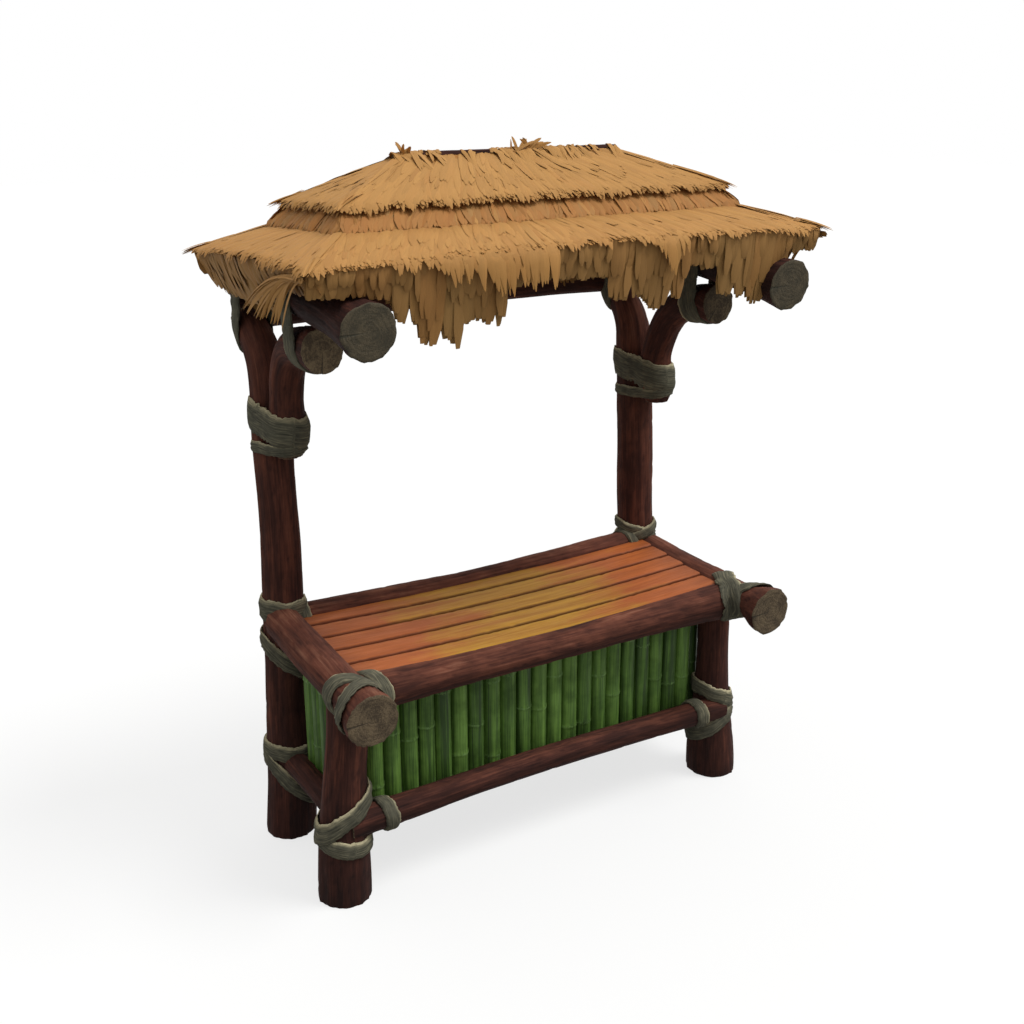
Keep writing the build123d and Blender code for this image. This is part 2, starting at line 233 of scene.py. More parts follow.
def rough(shift, x, y, z):
    """Smooth noise at each of the given places, moved by a shift of its own for each piece."""
    places = rows(x, y, z)
    values = [noise.noise(Vector(place) + shift) for place in places.reshape(-1, 3)]
    return np.reshape(values, places.shape[:-1])


def round_turn(steps):
    """Angles once round, with their cosines and sines."""
    angles = np.linspace(0, 2 * math.pi, steps, endpoint=False)
    return angles, np.cos(angles), np.sin(angles)


def tube_faces(rings, around):
    """Quads between rings of equal point counts, and a cap at each end."""
    start = np.arange(rings - 1)[:, None] * around + np.arange(around)
    turn = np.arange(rings - 1)[:, None] * around + (np.arange(around) + 1) % around
    quads = np.stack([start, turn, turn + around, start + around], -1).reshape(-1, 4)
    cap = np.arange(around)[None]
    return [quads, cap[:, ::-1], cap + (rings - 1) * around]


class Form:
    """Gathers the vertices, faces and surface coordinates of one piece."""

    def __init__(self):
        self.points = []
        self.layers = {"grain": [], "tone": []}
        self.faces = []
        self.finishes = []
        self.count = 0

    def add(self, points, faces, grain, tone, finish=0):
        """Take in one patch: metres, faces, straightened coordinates and three tone values."""
        points = np.reshape(points, (-1, 3))
        for patch in faces:
            self.faces.extend((patch + self.count).tolist())
            self.finishes.extend([finish] * len(patch))
        self.points.append(points)
        for layer, values in zip(self.layers.values(), (grain, tone)):
            layer.append(np.broadcast_to(np.reshape(values, (-1, 3)), points.shape))
        self.count += len(points)

    def piece(self, name, materials, slot, nodes=(), sharp=50):
        """Make the object, ride it on the frame and hide the imported parts that it stands for."""
        mesh = bpy.data.meshes.new(name)
        mesh.from_pydata(np.concatenate(self.points).tolist(), [], self.faces)
        for attribute, values in self.layers.items():
            layer = mesh.attributes.new(attribute, "FLOAT_VECTOR", "POINT")
            layer.data.foreach_set("vector", np.concatenate(values).astype(np.float32).ravel())
        for material in materials:
            mesh.materials.append(material)
        mesh.polygons.foreach_set("material_index", self.finishes)
        mesh.polygons.foreach_set("use_smooth", [True] * len(self.faces))
        mesh.set_sharp_from_angle(angle=math.radians(sharp))
        mesh.update()
        piece = bpy.data.objects.new(name, mesh)
        bpy.context.scene.collection.objects.link(piece)
        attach(piece, "root")
        if nodes:
            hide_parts(*nodes)


def smooth_line(stations, step):
    """Sample a smooth curve through stations, each a row of numbers that starts with x, y, z."""
    knots = np.asarray(stations, float)
    gaps = np.linalg.norm(np.diff(knots[:, :3], axis=0), axis=1)
    reach = np.concatenate([[0], np.cumsum(gaps)])
    slopes = np.diff(knots, axis=0) / gaps[:, None]
    share = (gaps[1:] / (gaps[1:] + gaps[:-1]))[:, None]
    tangent = np.concatenate([slopes[:1], slopes[:-1] * share + slopes[1:] * (1 - share), slopes[-1:]])
    at = np.linspace(0, reach[-1], max(int(reach[-1] / step), 4) + 1)
    i = np.clip(np.searchsorted(reach, at, side="right") - 1, 0, len(gaps) - 1)
    s = ((at - reach[i]) / gaps[i])[:, None]
    gap = gaps[i][:, None]
    line = knots[i] * (1 + 2 * s) * (1 - s) ** 2 + knots[i + 1] * s * s * (3 - 2 * s)
    line += tangent[i] * gap * s * (1 - s) ** 2 - tangent[i + 1] * gap * s * s * (1 - s)
    return at, line


def frames_along(centres, upright):
    """Give each ring of a tube its direction and two steady cross directions."""
    along = unit(np.gradient(centres, axis=0))
    if upright:
        along[0] = (0, 0, 1)
    runs_across = abs(unit(centres[-1] - centres[0])[1]) < 0.7
    side = np.array([0.0, 1, 0] if runs_across else [1.0, 0, 0])
    across = unit(side - along * (along @ side)[:, None])
    return along, across, np.cross(along, across)


# Shares of the radius and rise in millimetres of the rings on a sawn end, rim to heart
END_RINGS = [(0.985, 1.6), (0.95, 2.6), (0.86, 2.2), (0.7, 2.8), (0.52, 2.2), (0.34, 2.7), (0.16, 2.3)]
HEART_RISE = 2.4
POLE_SIDES = 48
POLE_STEP = 18.0
# Width of a tool hollow in the noise that cuts it, and how far from its ends a pole's rim is worn
HOLLOW = 0.16
WORN_END = 22


def pole(form, stations, seed, hewing, foot, bloom, pale):
    """Add one hand-hewn pole with soft facets, hollows and two sawn ends, and give its points."""
    at, line = smooth_line(stations, POLE_STEP)
    centres = line[:, :3]
    along, across, other = frames_along(centres, foot)
    angle, c, d = round_turn(POLE_SIDES)
    facets = 9 + seed % 4
    inside = np.mod(angle + seed * 1.7, 2 * math.pi / facets) - math.pi / facets
    facet = math.cos(math.pi / facets) / np.cos(inside)
    facet = 1 + 0.7 * (facet - facet.mean())
    shift = Vector((seed * 7.3, seed * 3.1, 0))
    slow = rough(shift, c * 0.9, d * 0.9, at[:, None] / 210)
    cut = rough(shift, c * 3.6, d * 3.6, at[:, None] / 130)
    groove = np.maximum(0, HOLLOW - np.abs(cut)) / HOLLOW
    ends = np.minimum(at, at[-1] - at)[:, None]
    chips = rough(shift, c * 5, d * 5, np.array([[0], [9]]))[(at > at[-1] / 2).astype(int)]
    radius = line[:, 3:] * (facet + 0.05 * slow) - hewing * groove ** 1.5
    radius -= np.clip(1 - ends / WORN_END, 0, 1) ** 2 * (2.2 + 5 * chips)
    flat = radius[..., None] * np.stack([c, d], 1)
    points = centres[:, None] + flat[..., :1] * across[:, None] + flat[..., 1:] * other[:, None]
    if foot:
        points[..., 2] = np.maximum(points[..., 2], 0)
        points[0, :, 2] = 0
    grain = rows(flat[..., 0] * MM, flat[..., 1] * MM, at[:, None] * MM + seed * 3.7)
    own = (seed * 0.37) % 1
    wear = 0.5 + 0.6 * slow - 0.5 * groove
    quads = tube_faces(len(at), POLE_SIDES)[0]
    form.add(points * MM, [quads], grain, rows(wear, own, np.clip(1 - ends / 60, 0, 1)))
    quads, _, last = tube_faces(len(END_RINGS) + 1, POLE_SIDES)
    fan = np.stack([last[0], np.roll(last[0], -1), np.full(POLE_SIDES, last[0, -1] + 1)], 1)
    for end, sign in ((0, -1), (len(at) - 1, 1)):
        rise = 0 if foot and end == 0 else sign
        rim, heart = points[end], centres[end]
        cap, cap_grain = [rim], [grain[end]]
        for share, height in END_RINGS:
            wave = rough(shift, c * 2, d * 2, share * 5 + sign)[:, None]
            cap.append(heart + (rim - heart) * share + along[end] * rise * (height + 1.4 * wave))
            cap_grain.append(grain[end] * (share, share, 1))
        cap.append((heart + along[end] * rise * HEART_RISE)[None])
        cap_grain.append([[0, 0, grain[end][0, 2]]])
        form.add(np.concatenate(cap) * MM, [quads[:, ::sign], fan[:, ::sign]], np.concatenate(cap_grain),
                 (bloom, own, pale), finish=1)
    return points.reshape(-1, 3) * MM


def roof_to_stall(points):
    """Tip and lift roof coordinates in millimetres to the stall's frame in metres."""
    x, y, z = np.moveaxis(np.asarray(points, float), -1, 0)
    level = y * math.cos(ROOF_TIP) - z * math.sin(ROOF_TIP) + ROOF_Y
    return rows(x, level, y * math.sin(ROOF_TIP) + z * math.cos(ROOF_TIP) + ROOF_Z) * MM


def turned(side, along, outward, height):
    """Set out a point by side of the roof: 0 front, 1 right, 2 rear, 3 left."""
    x = np.choose(side, [along, outward, -along, -outward])
    y = np.choose(side, [-outward, along, outward, -along])
    return rows(x, y, height)


def outward_of(side, like, up):
    """Direction that faces out of one side of the roof, and up as steeply as is asked."""
    return turned(side, 0 * like, 0 * like + 1, 0 * like + up)


def run_and_slant(side, low, high):
    """Level and sloping distance between the edges of a slope, on one side of the roof."""
    run = low[1 - side % 2] - high[1 - side % 2]
    return run, math.hypot(run, low[2] - high[2])


def slope_point(side, u, t, low, high, bulge, arch):
    """Point of a hipped slope; u runs along it from -1 to 1, t down it, and past 1 it hangs over."""
    low_along, high_along = low[side % 2], high[side % 2]
    high_out = high[1 - side % 2]
    run, length = run_and_slant(side, low, high)
    drop = high[2] - low[2]
    inner = np.minimum(t, 1.0)
    past = np.maximum(t - 1, 0) * length
    level = past * run / length
    over = EAVE_FALL * (1 - np.exp(-level / EAVE_FALL))
    height = high[2] - drop * inner - past * drop / length - (level - over)
    rise = np.sin(math.pi * np.clip(inner, 0, 1)) * bulge + arch * (1 - u * u) * inner
    return turned(side, u * (high_along + (low_along - high_along) * inner), high_out + run * inner + over,
                  height + rise)


def slope_frame(side, u, t, slope):
    """Points of a hipped slope and the directions that face out of it there."""
    flat = slope_point(side, u, t, *slope)
    normals = unit(np.cross(slope_point(side, u + 0.002, t, *slope) - flat,
                            slope_point(side, u, t + 0.01, *slope) - flat))
    facing = (normals * outward_of(side, u, 1)).sum(-1, keepdims=True)
    return flat, normals * np.sign(facing + 1e-9)


def blades(form, rng, centres, normals, width, shade, uneven=0, twist=0.12, taper=LAID):
    """Add flat straw blades with a low ridge along given centre lines, in metres."""
    count, sections, _ = centres.shape
    grain_at = rng.uniform(0, 40, count)
    tone = shade + (rng.normal(0, uneven, count) if uneven else np.zeros(count))
    along = unit(np.gradient(centres, axis=1))
    side = unit(np.cross(along, normals))
    up = np.cross(side, along)
    turn = rng.normal(0, twist, (count, 1, 1))
    side, up = side * np.cos(turn) + up * np.sin(turn), up * np.cos(turn) - side * np.sin(turn)
    share = np.linspace(0, 1, sections)
    half = width[:, None, None] * np.interp(share, *taper)[None, :, None] / 2
    points = np.stack([centres - side * half, centres + up * half * 0.2, centres + side * half], 2)
    wall, root, tip = tube_faces(sections, 3)
    first = (np.arange(count) * sections * 3)[:, None, None]
    faces = [(patch[None] + first).reshape(-1, patch.shape[1])
             for patch in (wall[:, [0, 3, 2, 1]], root[:, ::-1], tip[:, ::-1])]
    lengths = np.linalg.norm(centres[:, -1] - centres[:, 0], axis=1)
    each = (slice(None), None, None)
    grain = rows(np.array([-0.5, 0, 0.5]) * width[each], share[:, None] * lengths[each], grain_at[each])
    form.add(points, faces, grain, rows(share[:, None] + np.zeros(3), rng.random(count)[each], tone[each]))


def slope_blades(form, rng, slope, straw, share):
    """Lay combed straw over all four sides of one slope."""
    low, high = slope[:2]
    drift = rng.uniform(-40, 40, 3)[0]
    s = np.linspace(0, 1, 5)
    for side in range(4):
        low_half, high_half = low[side % 2], high[side % 2]
        slant = run_and_slant(side, low, high)[1]
        count = int(slant * (low_half + high_half) / straw.spacing ** 2)
        # Places are spread evenly over the area, which widens towards the low edge
        t = share[0] + (share[1] - share[0]) * np.sqrt(
            high_half ** 2 + (low_half ** 2 - high_half ** 2) * rng.random(count)) / low_half
        t = np.clip((t * low_half - high_half) / (low_half - high_half), *share)
        u = rng.uniform(-0.995, 0.995, count)
        reach = straw.length * rng.uniform(0.7, 1.25, count) / slant
        t = np.minimum(t, share[1] + rng.uniform(-0.03, 0.07, count) - reach)
        wander = rough(Vector(), u * 3 + drift, t * 2, side * 5.0)
        skew = (wander * 0.06 + rng.normal(0, 0.012, count)) * EAVE[0] / low_half
        along = np.clip(u[:, None] + skew[:, None] * s, -HIP_LIMIT, HIP_LIMIT)
        flat, normals = slope_frame(side, along, t[:, None] + reach[:, None] * s, slope)
        height = (straw.lift * rng.uniform(0.5, 1.5, count))[:, None] * s ** 0.8 - 2
        blades(form, rng, roof_to_stall(flat + normals * height[..., None]), normals,
               straw.width * MM * rng.uniform(0.6, 1.35, count), straw.shade, straw.uneven, straw.uneven)


def hip_blades(form, rng, slope, straw):
    """Cover the four hips of a slope with straw that follows them down."""
    low, high = np.array(slope[:2], float)
    slant = np.linalg.norm(low - high)
    count = int(slant / straw.spacing * 5)
    s = np.linspace(0, 1, 5)
    for side in range(4):
        reach = straw.length * rng.uniform(0.7, 1.2, count) / slant
        t = np.minimum(rng.uniform(-0.03, 1, count), 1 + rng.uniform(-0.02, 0.05, count) - reach)
        t = t[:, None] + reach[:, None] * s
        fan = rng.uniform(-1, 1, count)
        edge = 1 - 0.05 * np.abs(fan)[:, None] * (0.6 + s)
        flat = np.where(fan[:, None, None] > 0, slope_point(side, edge, t, *slope),
                        slope_point((side + 1) % 4, -edge, t, *slope))
        normals = unit(turned(side, 0 * t + 1, 0 * t + 1, 0 * t + 1.6))
        height = 1 + (straw.lift * rng.uniform(0.2, 0.7, count))[:, None] * s
        blades(form, rng, roof_to_stall(flat + normals * height[..., None]), normals,
               straw.width * MM * rng.uniform(0.7, 1.3, count), straw.shade, straw.uneven, straw.uneven)


def ridge_blades(form, rng, width):
    """Fold straw over the ridge, close together or sparse by span."""
    swing = np.linspace(-1, 1, 7)
    for start, end, spacing in RIDGE_SPANS:
        count = int((end - start) / spacing)
        x = rng.uniform(start, end, count)
        reach = rng.uniform(60, 120, count)[:, None]
        flip = rng.choice([-1, 1], count)[:, None]
        off = flip * (swing * 0.62 + 0.38) * reach
        height = RIDGE[2] + rng.uniform(12, 21, count)[:, None] - np.abs(off) * 0.56 - 6 * np.abs(swing)
        along = x[:, None] + rng.normal(0, 16, count)[:, None] * swing
        blades(form, rng, roof_to_stall(rows(along, off, height)), rows(0, off / reach, 1.0),
               width * MM * rng.uniform(0.7, 1.3, count), 0.0, twist=0.2)


# Lean of the hanging straw by side, in degrees
FRINGE_LEAN = (9, 22, 20, 22)
# Layers of hanging straw, back to front: spacing, depth under the eave, least share of the drop, painted shade
# added to the deeper layers
FRINGE_LAYERS = ((13, 20, 0.94, 0.12), (12, 8, 0.9, 0.04), (15, -3, 0.3, 0.0))


def spread_along(rng, half, spacing):
    """Places along a side, one at random in each step of the spacing."""
    count = int(2 * half / spacing)
    return count, -half + 2 * half * (np.arange(count) + rng.random(count)) / count


def fringe(form, rng, side, tips, half, out, lean, arch):
    """Hang straw under one side of the eave in uneven locks; tips give the drop of the lower edge."""
    spots, drops = np.array(tips, float).T
    edges = [-half]
    while edges[-1] < half:
        edges.append(edges[-1] + rng.uniform(34, 105))
    edges[-1] = half
    edges = np.array(edges)
    middles = (edges[1:] + edges[:-1]) / 2
    locks = len(middles)
    pull, swing, tint = rng.uniform(0.88, 1.04, locks), rng.normal(0, 0.05, locks), rng.normal(0, 0.06, locks)
    s = np.linspace(0, 1, 6)
    for spacing, depth, least, shade in FRINGE_LAYERS:
        count, along = spread_along(rng, half, spacing)
        lock = np.clip(np.searchsorted(edges, along) - 1, 0, locks - 1)
        full = np.interp(along, spots, drops) * pull[lock]
        length = full * rng.uniform(least, 1.02, count)
        if depth < 0:
            length = np.minimum(length, rng.uniform(0.35, 0.9, count) * full)
        gather = (middles[lock] - along) * rng.uniform(0.05, 0.3, count)
        sway = (gather + swing[lock] * length)[:, None]
        slack = rng.normal(0, 3, (count, 1))
        root = arch * (1 - (along / half) ** 2)[:, None] + 4
        x = along[:, None] + sway * s ** 1.4
        away = out - depth - slack * s - length[:, None] * s * math.sin(lean) + 5 * np.sin(math.pi * s)
        height = root - (length[:, None] * math.cos(lean) + root) * s
        width = np.minimum(rng.uniform(20, 44, count), 12 + 0.2 * length) * MM
        # Hanging straw is drawn mostly in the under colour, painted shade of the eave, and its deeper layers
        # darker still
        blades(form, rng, roof_to_stall(turned(side, x, away, height)), outward_of(side, x, 0.1), width,
               0.85 + tint[lock] + shade, twist=0.1, taper=HUNG)


def overhang(form, rng, side, reach_table, slope, shade):
    """Lay the light top straw over the eave, as far down as the table says."""
    spots, reach = np.array(reach_table, float).T
    low, high = slope[:2]
    half = low[side % 2]
    slant = run_and_slant(side, low, high)[1]
    s = np.linspace(0, 1, 7)
    for spacing, least in ((15, 0.75), (19, 0.25)):
        count, along = spread_along(rng, half, spacing)
        ragged = 14 + 13 * np.sin(along / 31 + 2 * np.sin(along / 83)) + rng.uniform(-9, 9, count)
        past = np.interp(along, spots, reach) * rng.uniform(least, 1.05, count) + np.maximum(ragged, 1)
        start = 1 - rng.uniform(60, 130, count) / slant
        u = (along / half)[:, None] + (rng.normal(0, 0.008, count) + 0.012 * np.sin(along / 90))[:, None] * s
        t = start[:, None] + (1 + past / slant - start)[:, None] * s
        flat, normals = slope_frame(side, u, t, slope)
        centres = flat + normals * (2 + rng.uniform(3, 9, count)[:, None] * s)[..., None]
        width = rng.uniform(24, 46, count) * MM
        blades(form, rng, roof_to_stall(centres), normals, width, shade, 0.05, 0.08, TOOTH)


def tuft(form, rng, root, tips, width, sag, spread, facing, shade=0.0):
    """Add a loose bunch of straw that leaves one place and arches to its tips, in the stall's millimetres."""
    count = len(tips)
    s = np.linspace(0, 1, 8)[:, None]
    start = np.array(root, float) + rng.normal(0, 1, (count, 3)) * spread
    centres = start[:, None] * (1 - s) + np.array(tips)[:, None] * s
    centres[..., 2] += (sag * 4 * s * (1 - s))[:, 0]
    blades(form, rng, centres * MM, np.broadcast_to(np.array(facing, float), centres.shape),
           rng.uniform(0.7, 1.3, count) * width * MM, shade, twist=0.4)


def hull_radius(points, angles):
    """Reach of the hull of flat points in each direction from the origin, by their support."""
    turn, c, d = round_turn(180)
    support = (points @ np.stack([c, d])).max(0)
    facing = np.cos(angles[:, None] - turn)
    return np.where(facing > 0.05, support / np.maximum(facing, 0.05), np.inf).min(1)


# A strap's strands across its width, and how thick it is there as a share
STRAP_LANES = np.linspace(-0.5, 0.5, 7)
STRAP_CROWN = np.array([0.45, 0.9, 1.0, 0.94, 1.0, 0.9, 0.45])
STRAP_TURNS = 84
# Wood this near to a strand bears it, in metres, or else this near where there are few points
NEAR_WOOD = (0.014, 0.03)


def strap(form, bodies, centre, normal, width, thickness, seed, reach, lift):
    """Wind one flat fibre strap round the timbers that cross its plane; all but the centre is in metres."""
    centre = np.array(centre) * MM
    normal = unit(np.array(normal, float))
    side = np.array([0.0, 0, 1] if abs(normal[2]) < 0.8 else [1.0, 0, 0])
    first = unit(np.cross(side, normal))
    second = np.cross(normal, first)
    cloud = np.concatenate(bodies) - centre
    level = cloud @ normal
    flat = np.stack([cloud @ first, cloud @ second], 1)
    near = np.linalg.norm(flat, axis=1) < reach
    angles, c, d = round_turn(STRAP_TURNS)
    inner = []
    for lane in STRAP_LANES:
        off = np.abs(level - lane * width)
        here, wider = (near & (off < limit) for limit in NEAR_WOOD)
        inner.append(hull_radius(flat[here if here.sum() >= 8 else wider], angles))
    inner = np.array(inner).T
    inner = (inner + np.roll(inner, 1, 0) + np.roll(inner, -1, 0)) / 3 + lift
    shift = Vector((seed * 5.1, seed * 2.3, 0))
    # Round the section: the strands outside, and back inside
    order = np.r_[0:7, 6:-1:-1]
    outer = np.repeat([1, 0], 7) * thickness
    lane = STRAP_LANES[order]
    c, d = c[:, None], d[:, None]
    sway = 0.1 * rough(shift, c * 1.4, d * 1.4, 0)
    fray = 0.16 * rough(shift, c * 9, d * 9, lane * 7) * (np.abs(lane) > 0.4)
    strand = 0.22 * rough(shift, c * 2.5, d * 2.5, lane * 9 + 20)
    radius = inner[:, order] - 0.001 + outer * (STRAP_CROWN[order] + strand)
    across = (lane * (1 + fray) + sway) * width
    spoke = c[..., None] * first + d[..., None] * second
    rings = centre + radius[..., None] * spoke + across[..., None] * normal
    around = len(order)
    quads = tube_faces(STRAP_TURNS + 1, around)[0] % (STRAP_TURNS * around)
    grain = rows((angles * inner.mean())[:, None] + seed * 2.1, lane * width, outer)
    # The third tone runs across the strap, so that the material paints its highlight on one edge
    tone = rows(np.abs(lane) * 2 + 0 * c, (seed * 0.41) % 1, lane + 0.5)
    form.add(rings, [quads], grain, tone)


def board(form, y, top_z, width, seed):
    """Add one sagging counter board with worn edges."""
    stations = 90
    xs = np.linspace(-BOARD_HALF_LENGTH, BOARD_HALF_LENGTH, stations)[:, None]
    shift = Vector((seed * 11.3, seed * 4.7, 0))
    edge = np.abs(BOARD_ACROSS - 0.5) * 2
    wave = rough(shift, xs / 90, BOARD_ACROSS * 2.2, 0)
    chip = np.maximum(0, rough(shift, xs / 16, BOARD_ACROSS * 3, 5) - 0.1) * edge ** 6 * 7
    shake = 1.6 * rough(shift, xs / 55, 0, 9 + (BOARD_ACROSS > 0.5)) * edge ** 4
    sagged = top_z - BOARD_SAG * (1 - (xs / BOARD_HALF_LENGTH) ** 2)
    upper = rows(xs, y + BOARD_ACROSS * width + shake, sagged - BOARD_FALL + wave * 0.9 - chip)
    lower = rows(xs, y + np.array([width, 0]), sagged - BOARD_THICKNESS)
    rings = np.concatenate([upper, lower], 1)
    faces = [patch[:, ::-1] for patch in tube_faces(stations, rings.shape[1])]
    end = np.clip(1 - (BOARD_HALF_LENGTH - np.abs(xs)) / 120, 0, 1)
    form.add(rings * MM, faces, rings * MM + (0, seed * 0.77, 0),
             rows(np.append(edge, [1, 1]), (seed * 0.31) % 1, end))


def cane(form, x, y, seed, rng, bright):
    """Add one bamboo cane with swollen joints and a slight bow."""
    around = 20
    heights = np.arange(CANE_FOOT_Z, CANE_TOP_Z + 0.1, 6.0)
    joints = [CANE_FOOT_Z + rng.uniform(30, 430)]
    while joints[-1] < CANE_TOP_Z:
        joints.append(joints[-1] + rng.uniform(300, 360))
    girth = CANE_RADIUS * rng.uniform(0.975, 1.0)
    lean = rng.normal(0, 0.4, 2)
    mark = np.zeros(len(heights))
    for joint in joints[:-1]:
        away = (heights - joint) / 9.0
        girth = girth + 2.6 * np.exp(-away ** 2) - 1.5 * np.exp(-((heights - joint + 9) / 4.0) ** 2)
        mark = np.maximum(mark, np.exp(-(away / 1.1) ** 2))
    middle = (heights - heights.mean()) / 260
    centre = rows(x + lean[0] * middle + rng.normal(0, 0.3), y + lean[1] * middle + rng.normal(0, 0.8), 0)
    _, c, d = round_turn(around)
    girth = np.broadcast_to(girth, heights.shape)[:, None]
    points = rows(girth * c, girth * d, heights[:, None])
    # The second tone is scaled down on the end panels, which paints their shade
    tone = rows(mark, rng.random() * bright, (heights - CANE_FOOT_Z) / (CANE_TOP_Z - CANE_FOOT_Z))
    form.add((points + centre[:, None]) * MM, tube_faces(len(heights), around), points * MM + (0, 0, seed * 1.31),
             np.broadcast_to(tone[:, None], points.shape))


def add(tree, kind, *sources, stops=(), **named):
    """Add one shader node; sources feed its live inputs in order, and names are its inputs or its settings."""
    node = tree.nodes.new("ShaderNode" + kind)
    keys = {socket.name: socket.name.lower().replace(" ", "_") for socket in node.inputs}
    for name, value in named.items():
        if name not in keys.values():
            setattr(node, name, value)
    live = [socket for socket in node.inputs if socket.enabled]
    feeds = list(zip(live, sources)) + [(s, named[keys[s.name]]) for s in live if keys[s.name] in named]
    for socket, value in feeds:
        if isinstance(value, bpy.types.Node):
            value = next(output for output in value.outputs if output.enabled)
        if isinstance(value, bpy.types.NodeSocket):
            tree.links.new(value, socket)
        else:
            socket.default_value = value
    if stops:
        elements = node.color_ramp.elements
        elements.remove(elements[1])
        elements[0].position, elements[0].color = stops[0]
        for position, colour in stops[1:]:
            elements.new(position).color = colour
    return node


def palette(settings):
    """Read the colours of a settings group, each with full cover."""
    names = [name for name, prop in settings.bl_rna.properties.items() if getattr(prop, "is_array", False)]
    return SimpleNamespace(**{name: (*getattr(settings, name), 1) for name in names})


def start(name):
    """Start a named material, and give the function that adds its nodes."""
    material = bpy.data.materials.new(name)
    material.use_nodes = True
    material.node_tree.nodes.clear()
    return material, partial(add, material.node_tree)


def surface(name):
    """Start a material that reads its piece's straightened coordinates and three tones."""
    material, new = start(name)
    grain, tone = (new("Attribute", attribute_name=layer).outputs["Vector"] for layer in ("grain", "tone"))
    return material, new, grain, new("SeparateXYZ", tone).outputs


def end_surface(new, colour, roughness, specular, relief, strength, depth):
    """End a material with its relief, whose depth is in metres, and its shader."""
    bump = new("Bump", height=relief, strength=strength, distance=depth)
    shader = new(
        "BsdfPrincipled", base_color=colour, roughness=roughness, specular_ior_level=specular, normal=bump)
    new("OutputMaterial", surface=shader)


def pole_material(settings):
    """Softwood pole, bark peeled with a draw knife and stained: long fibres, tool hollows, rubbed ridges."""
    material, new, grain, worn = surface("peeled_stained_pole")
    c = palette(settings)
    # Fibre bundles 6 mm wide and some 120 mm long, in streaks 25 mm wide
    drawn = new("VectorMath", grain, (1, 1, 0.05), operation="MULTIPLY")
    fibres = new("TexNoise", vector=drawn, scale=165, detail=5, roughness=0.62, distortion=0.25)
    streaks = new("TexNoise", vector=drawn, scale=40, detail=3, roughness=0.55, distortion=0.6)
    patches = new("TexNoise", vector=grain, scale=9, detail=4, roughness=0.6)
    mixed = new("Math", fibres, 0.62, streaks, operation="MULTIPLY_ADD")
    with_wear = new("Math", worn["X"], 0.34, mixed, operation="MULTIPLY_ADD")
    # Painted light and shade: upward faces are drawn lighter, the posts darker towards the ground and the roof's
    # logs darker under the roof
    shape = new("NewGeometry").outputs
    facing = new("SeparateXYZ", shape["Normal"]).outputs["Z"]
    place = new("SeparateXYZ", shape["Position"]).outputs["Z"]
    upper = new("MapRange", facing, -0.3, 1, -0.03, 0.24)
    painted_foot_shade = new("MapRange", place, 0, 0.9, -0.34, 0)
    # Painted shade of the roof over the logs under it
    painted_roof_shade = new("MapRange", place, 1.92, 2.1, 0, -0.4)
    # Painted shade, low on the posts and on the logs under the roof
    kept = new("Math", painted_foot_shade, painted_roof_shade)
    # Painted top light together with the painted shade low on the posts and under the roof
    used = new("Math", upper, kept)
    # Wear of the ridges, raised by the painted top light and lowered by the painted shade
    rubbed = new("Math", with_wear, used)
    level = new("MapRange", rubbed, 0.52, 1.5)
    colour = new("ValToRGB", level, stops=((0, c.dark), (0.38, c.body), (0.72, c.light), (1, c.rubbed)))
    dull = new("MapRange", patches, 0.35, 0.7, 0, 0.5)
    stained = new("Mix", dull, colour, c.dark, data_type="RGBA")
    gloss = new("MapRange", fibres, 0.3, 0.7, 0.9, 0.72)
    end_surface(new, stained, gloss, 0.1, mixed, 0.7, 0.0022)
    return material


def end_grain_material(settings):
    """Cross-cut end of a pole, left grey by weather: year rings, saw fuzz and drying cracks."""
    material, new, grain, bloom_and_painted_light = surface("sawn_end_grain")
    c = palette(settings)
    level = new("VectorMath", grain, (1, 1, 0), operation="MULTIPLY")
    wobble = new("TexNoise", vector=grain, scale=26, detail=3)
    fuzz = new("TexNoise", vector=grain, scale=210, detail=4)
    reach = new("VectorMath", level, operation="LENGTH")
    bent = new("Math", wobble, 0.034, reach, operation="MULTIPLY_ADD")
    # Year rings drawn 16 mm apart, coarser than real ones, so that they show at the render's scale
    turns = new("Math", bent, 2 * math.pi / 0.016, operation="MULTIPLY")
    rings = new("Math", turns, operation="SINE")
    heading = new("VectorMath", level, operation="NORMALIZE")
    split = new("TexNoise", vector=heading, scale=2.4, detail=2)
    cracks = new("MapRange", split, 0.66, 0.7, 0, 0.8)
    blotches = new("Math", fuzz, wobble)
    soft = new("Math", rings, 0.055, blotches, operation="MULTIPLY_ADD")
    spread = new("MapRange", soft, 0.72, 1.3)
    colour = new("ValToRGB", spread, stops=((0.15, c.ring), (0.5, c.face), (0.85, c.edge)))
    cracked = new("Mix", cracks, colour, c.crack, data_type="RGBA")
    # Green bloom, darker than the sawn face; on the roof logs' ends, where it is strongest, it is also painted
    # shade of the roof
    green = new("Math", bloom_and_painted_light["X"], 0.6, operation="MULTIPLY")
    bloom_and_painted_shade = new("Mix", green, cracked, c.bloom_and_roof_shade, data_type="RGBA")
    # Painted light: the third tone scales up the colour of ends that lie in shadow, those of the left fork limb
    end_colour_with_painted_light = new("VectorMath", bloom_and_painted_shade, bloom_and_painted_light["Z"], operation="SCALE")
    height = new("Math", rings, 0.14, fuzz, operation="MULTIPLY_ADD")
    sunk = new("Math", height, cracks, operation="SUBTRACT")
    end_surface(new, end_colour_with_painted_light, 0.86, 0.2, sunk, 0.8, 0.002)
    return material


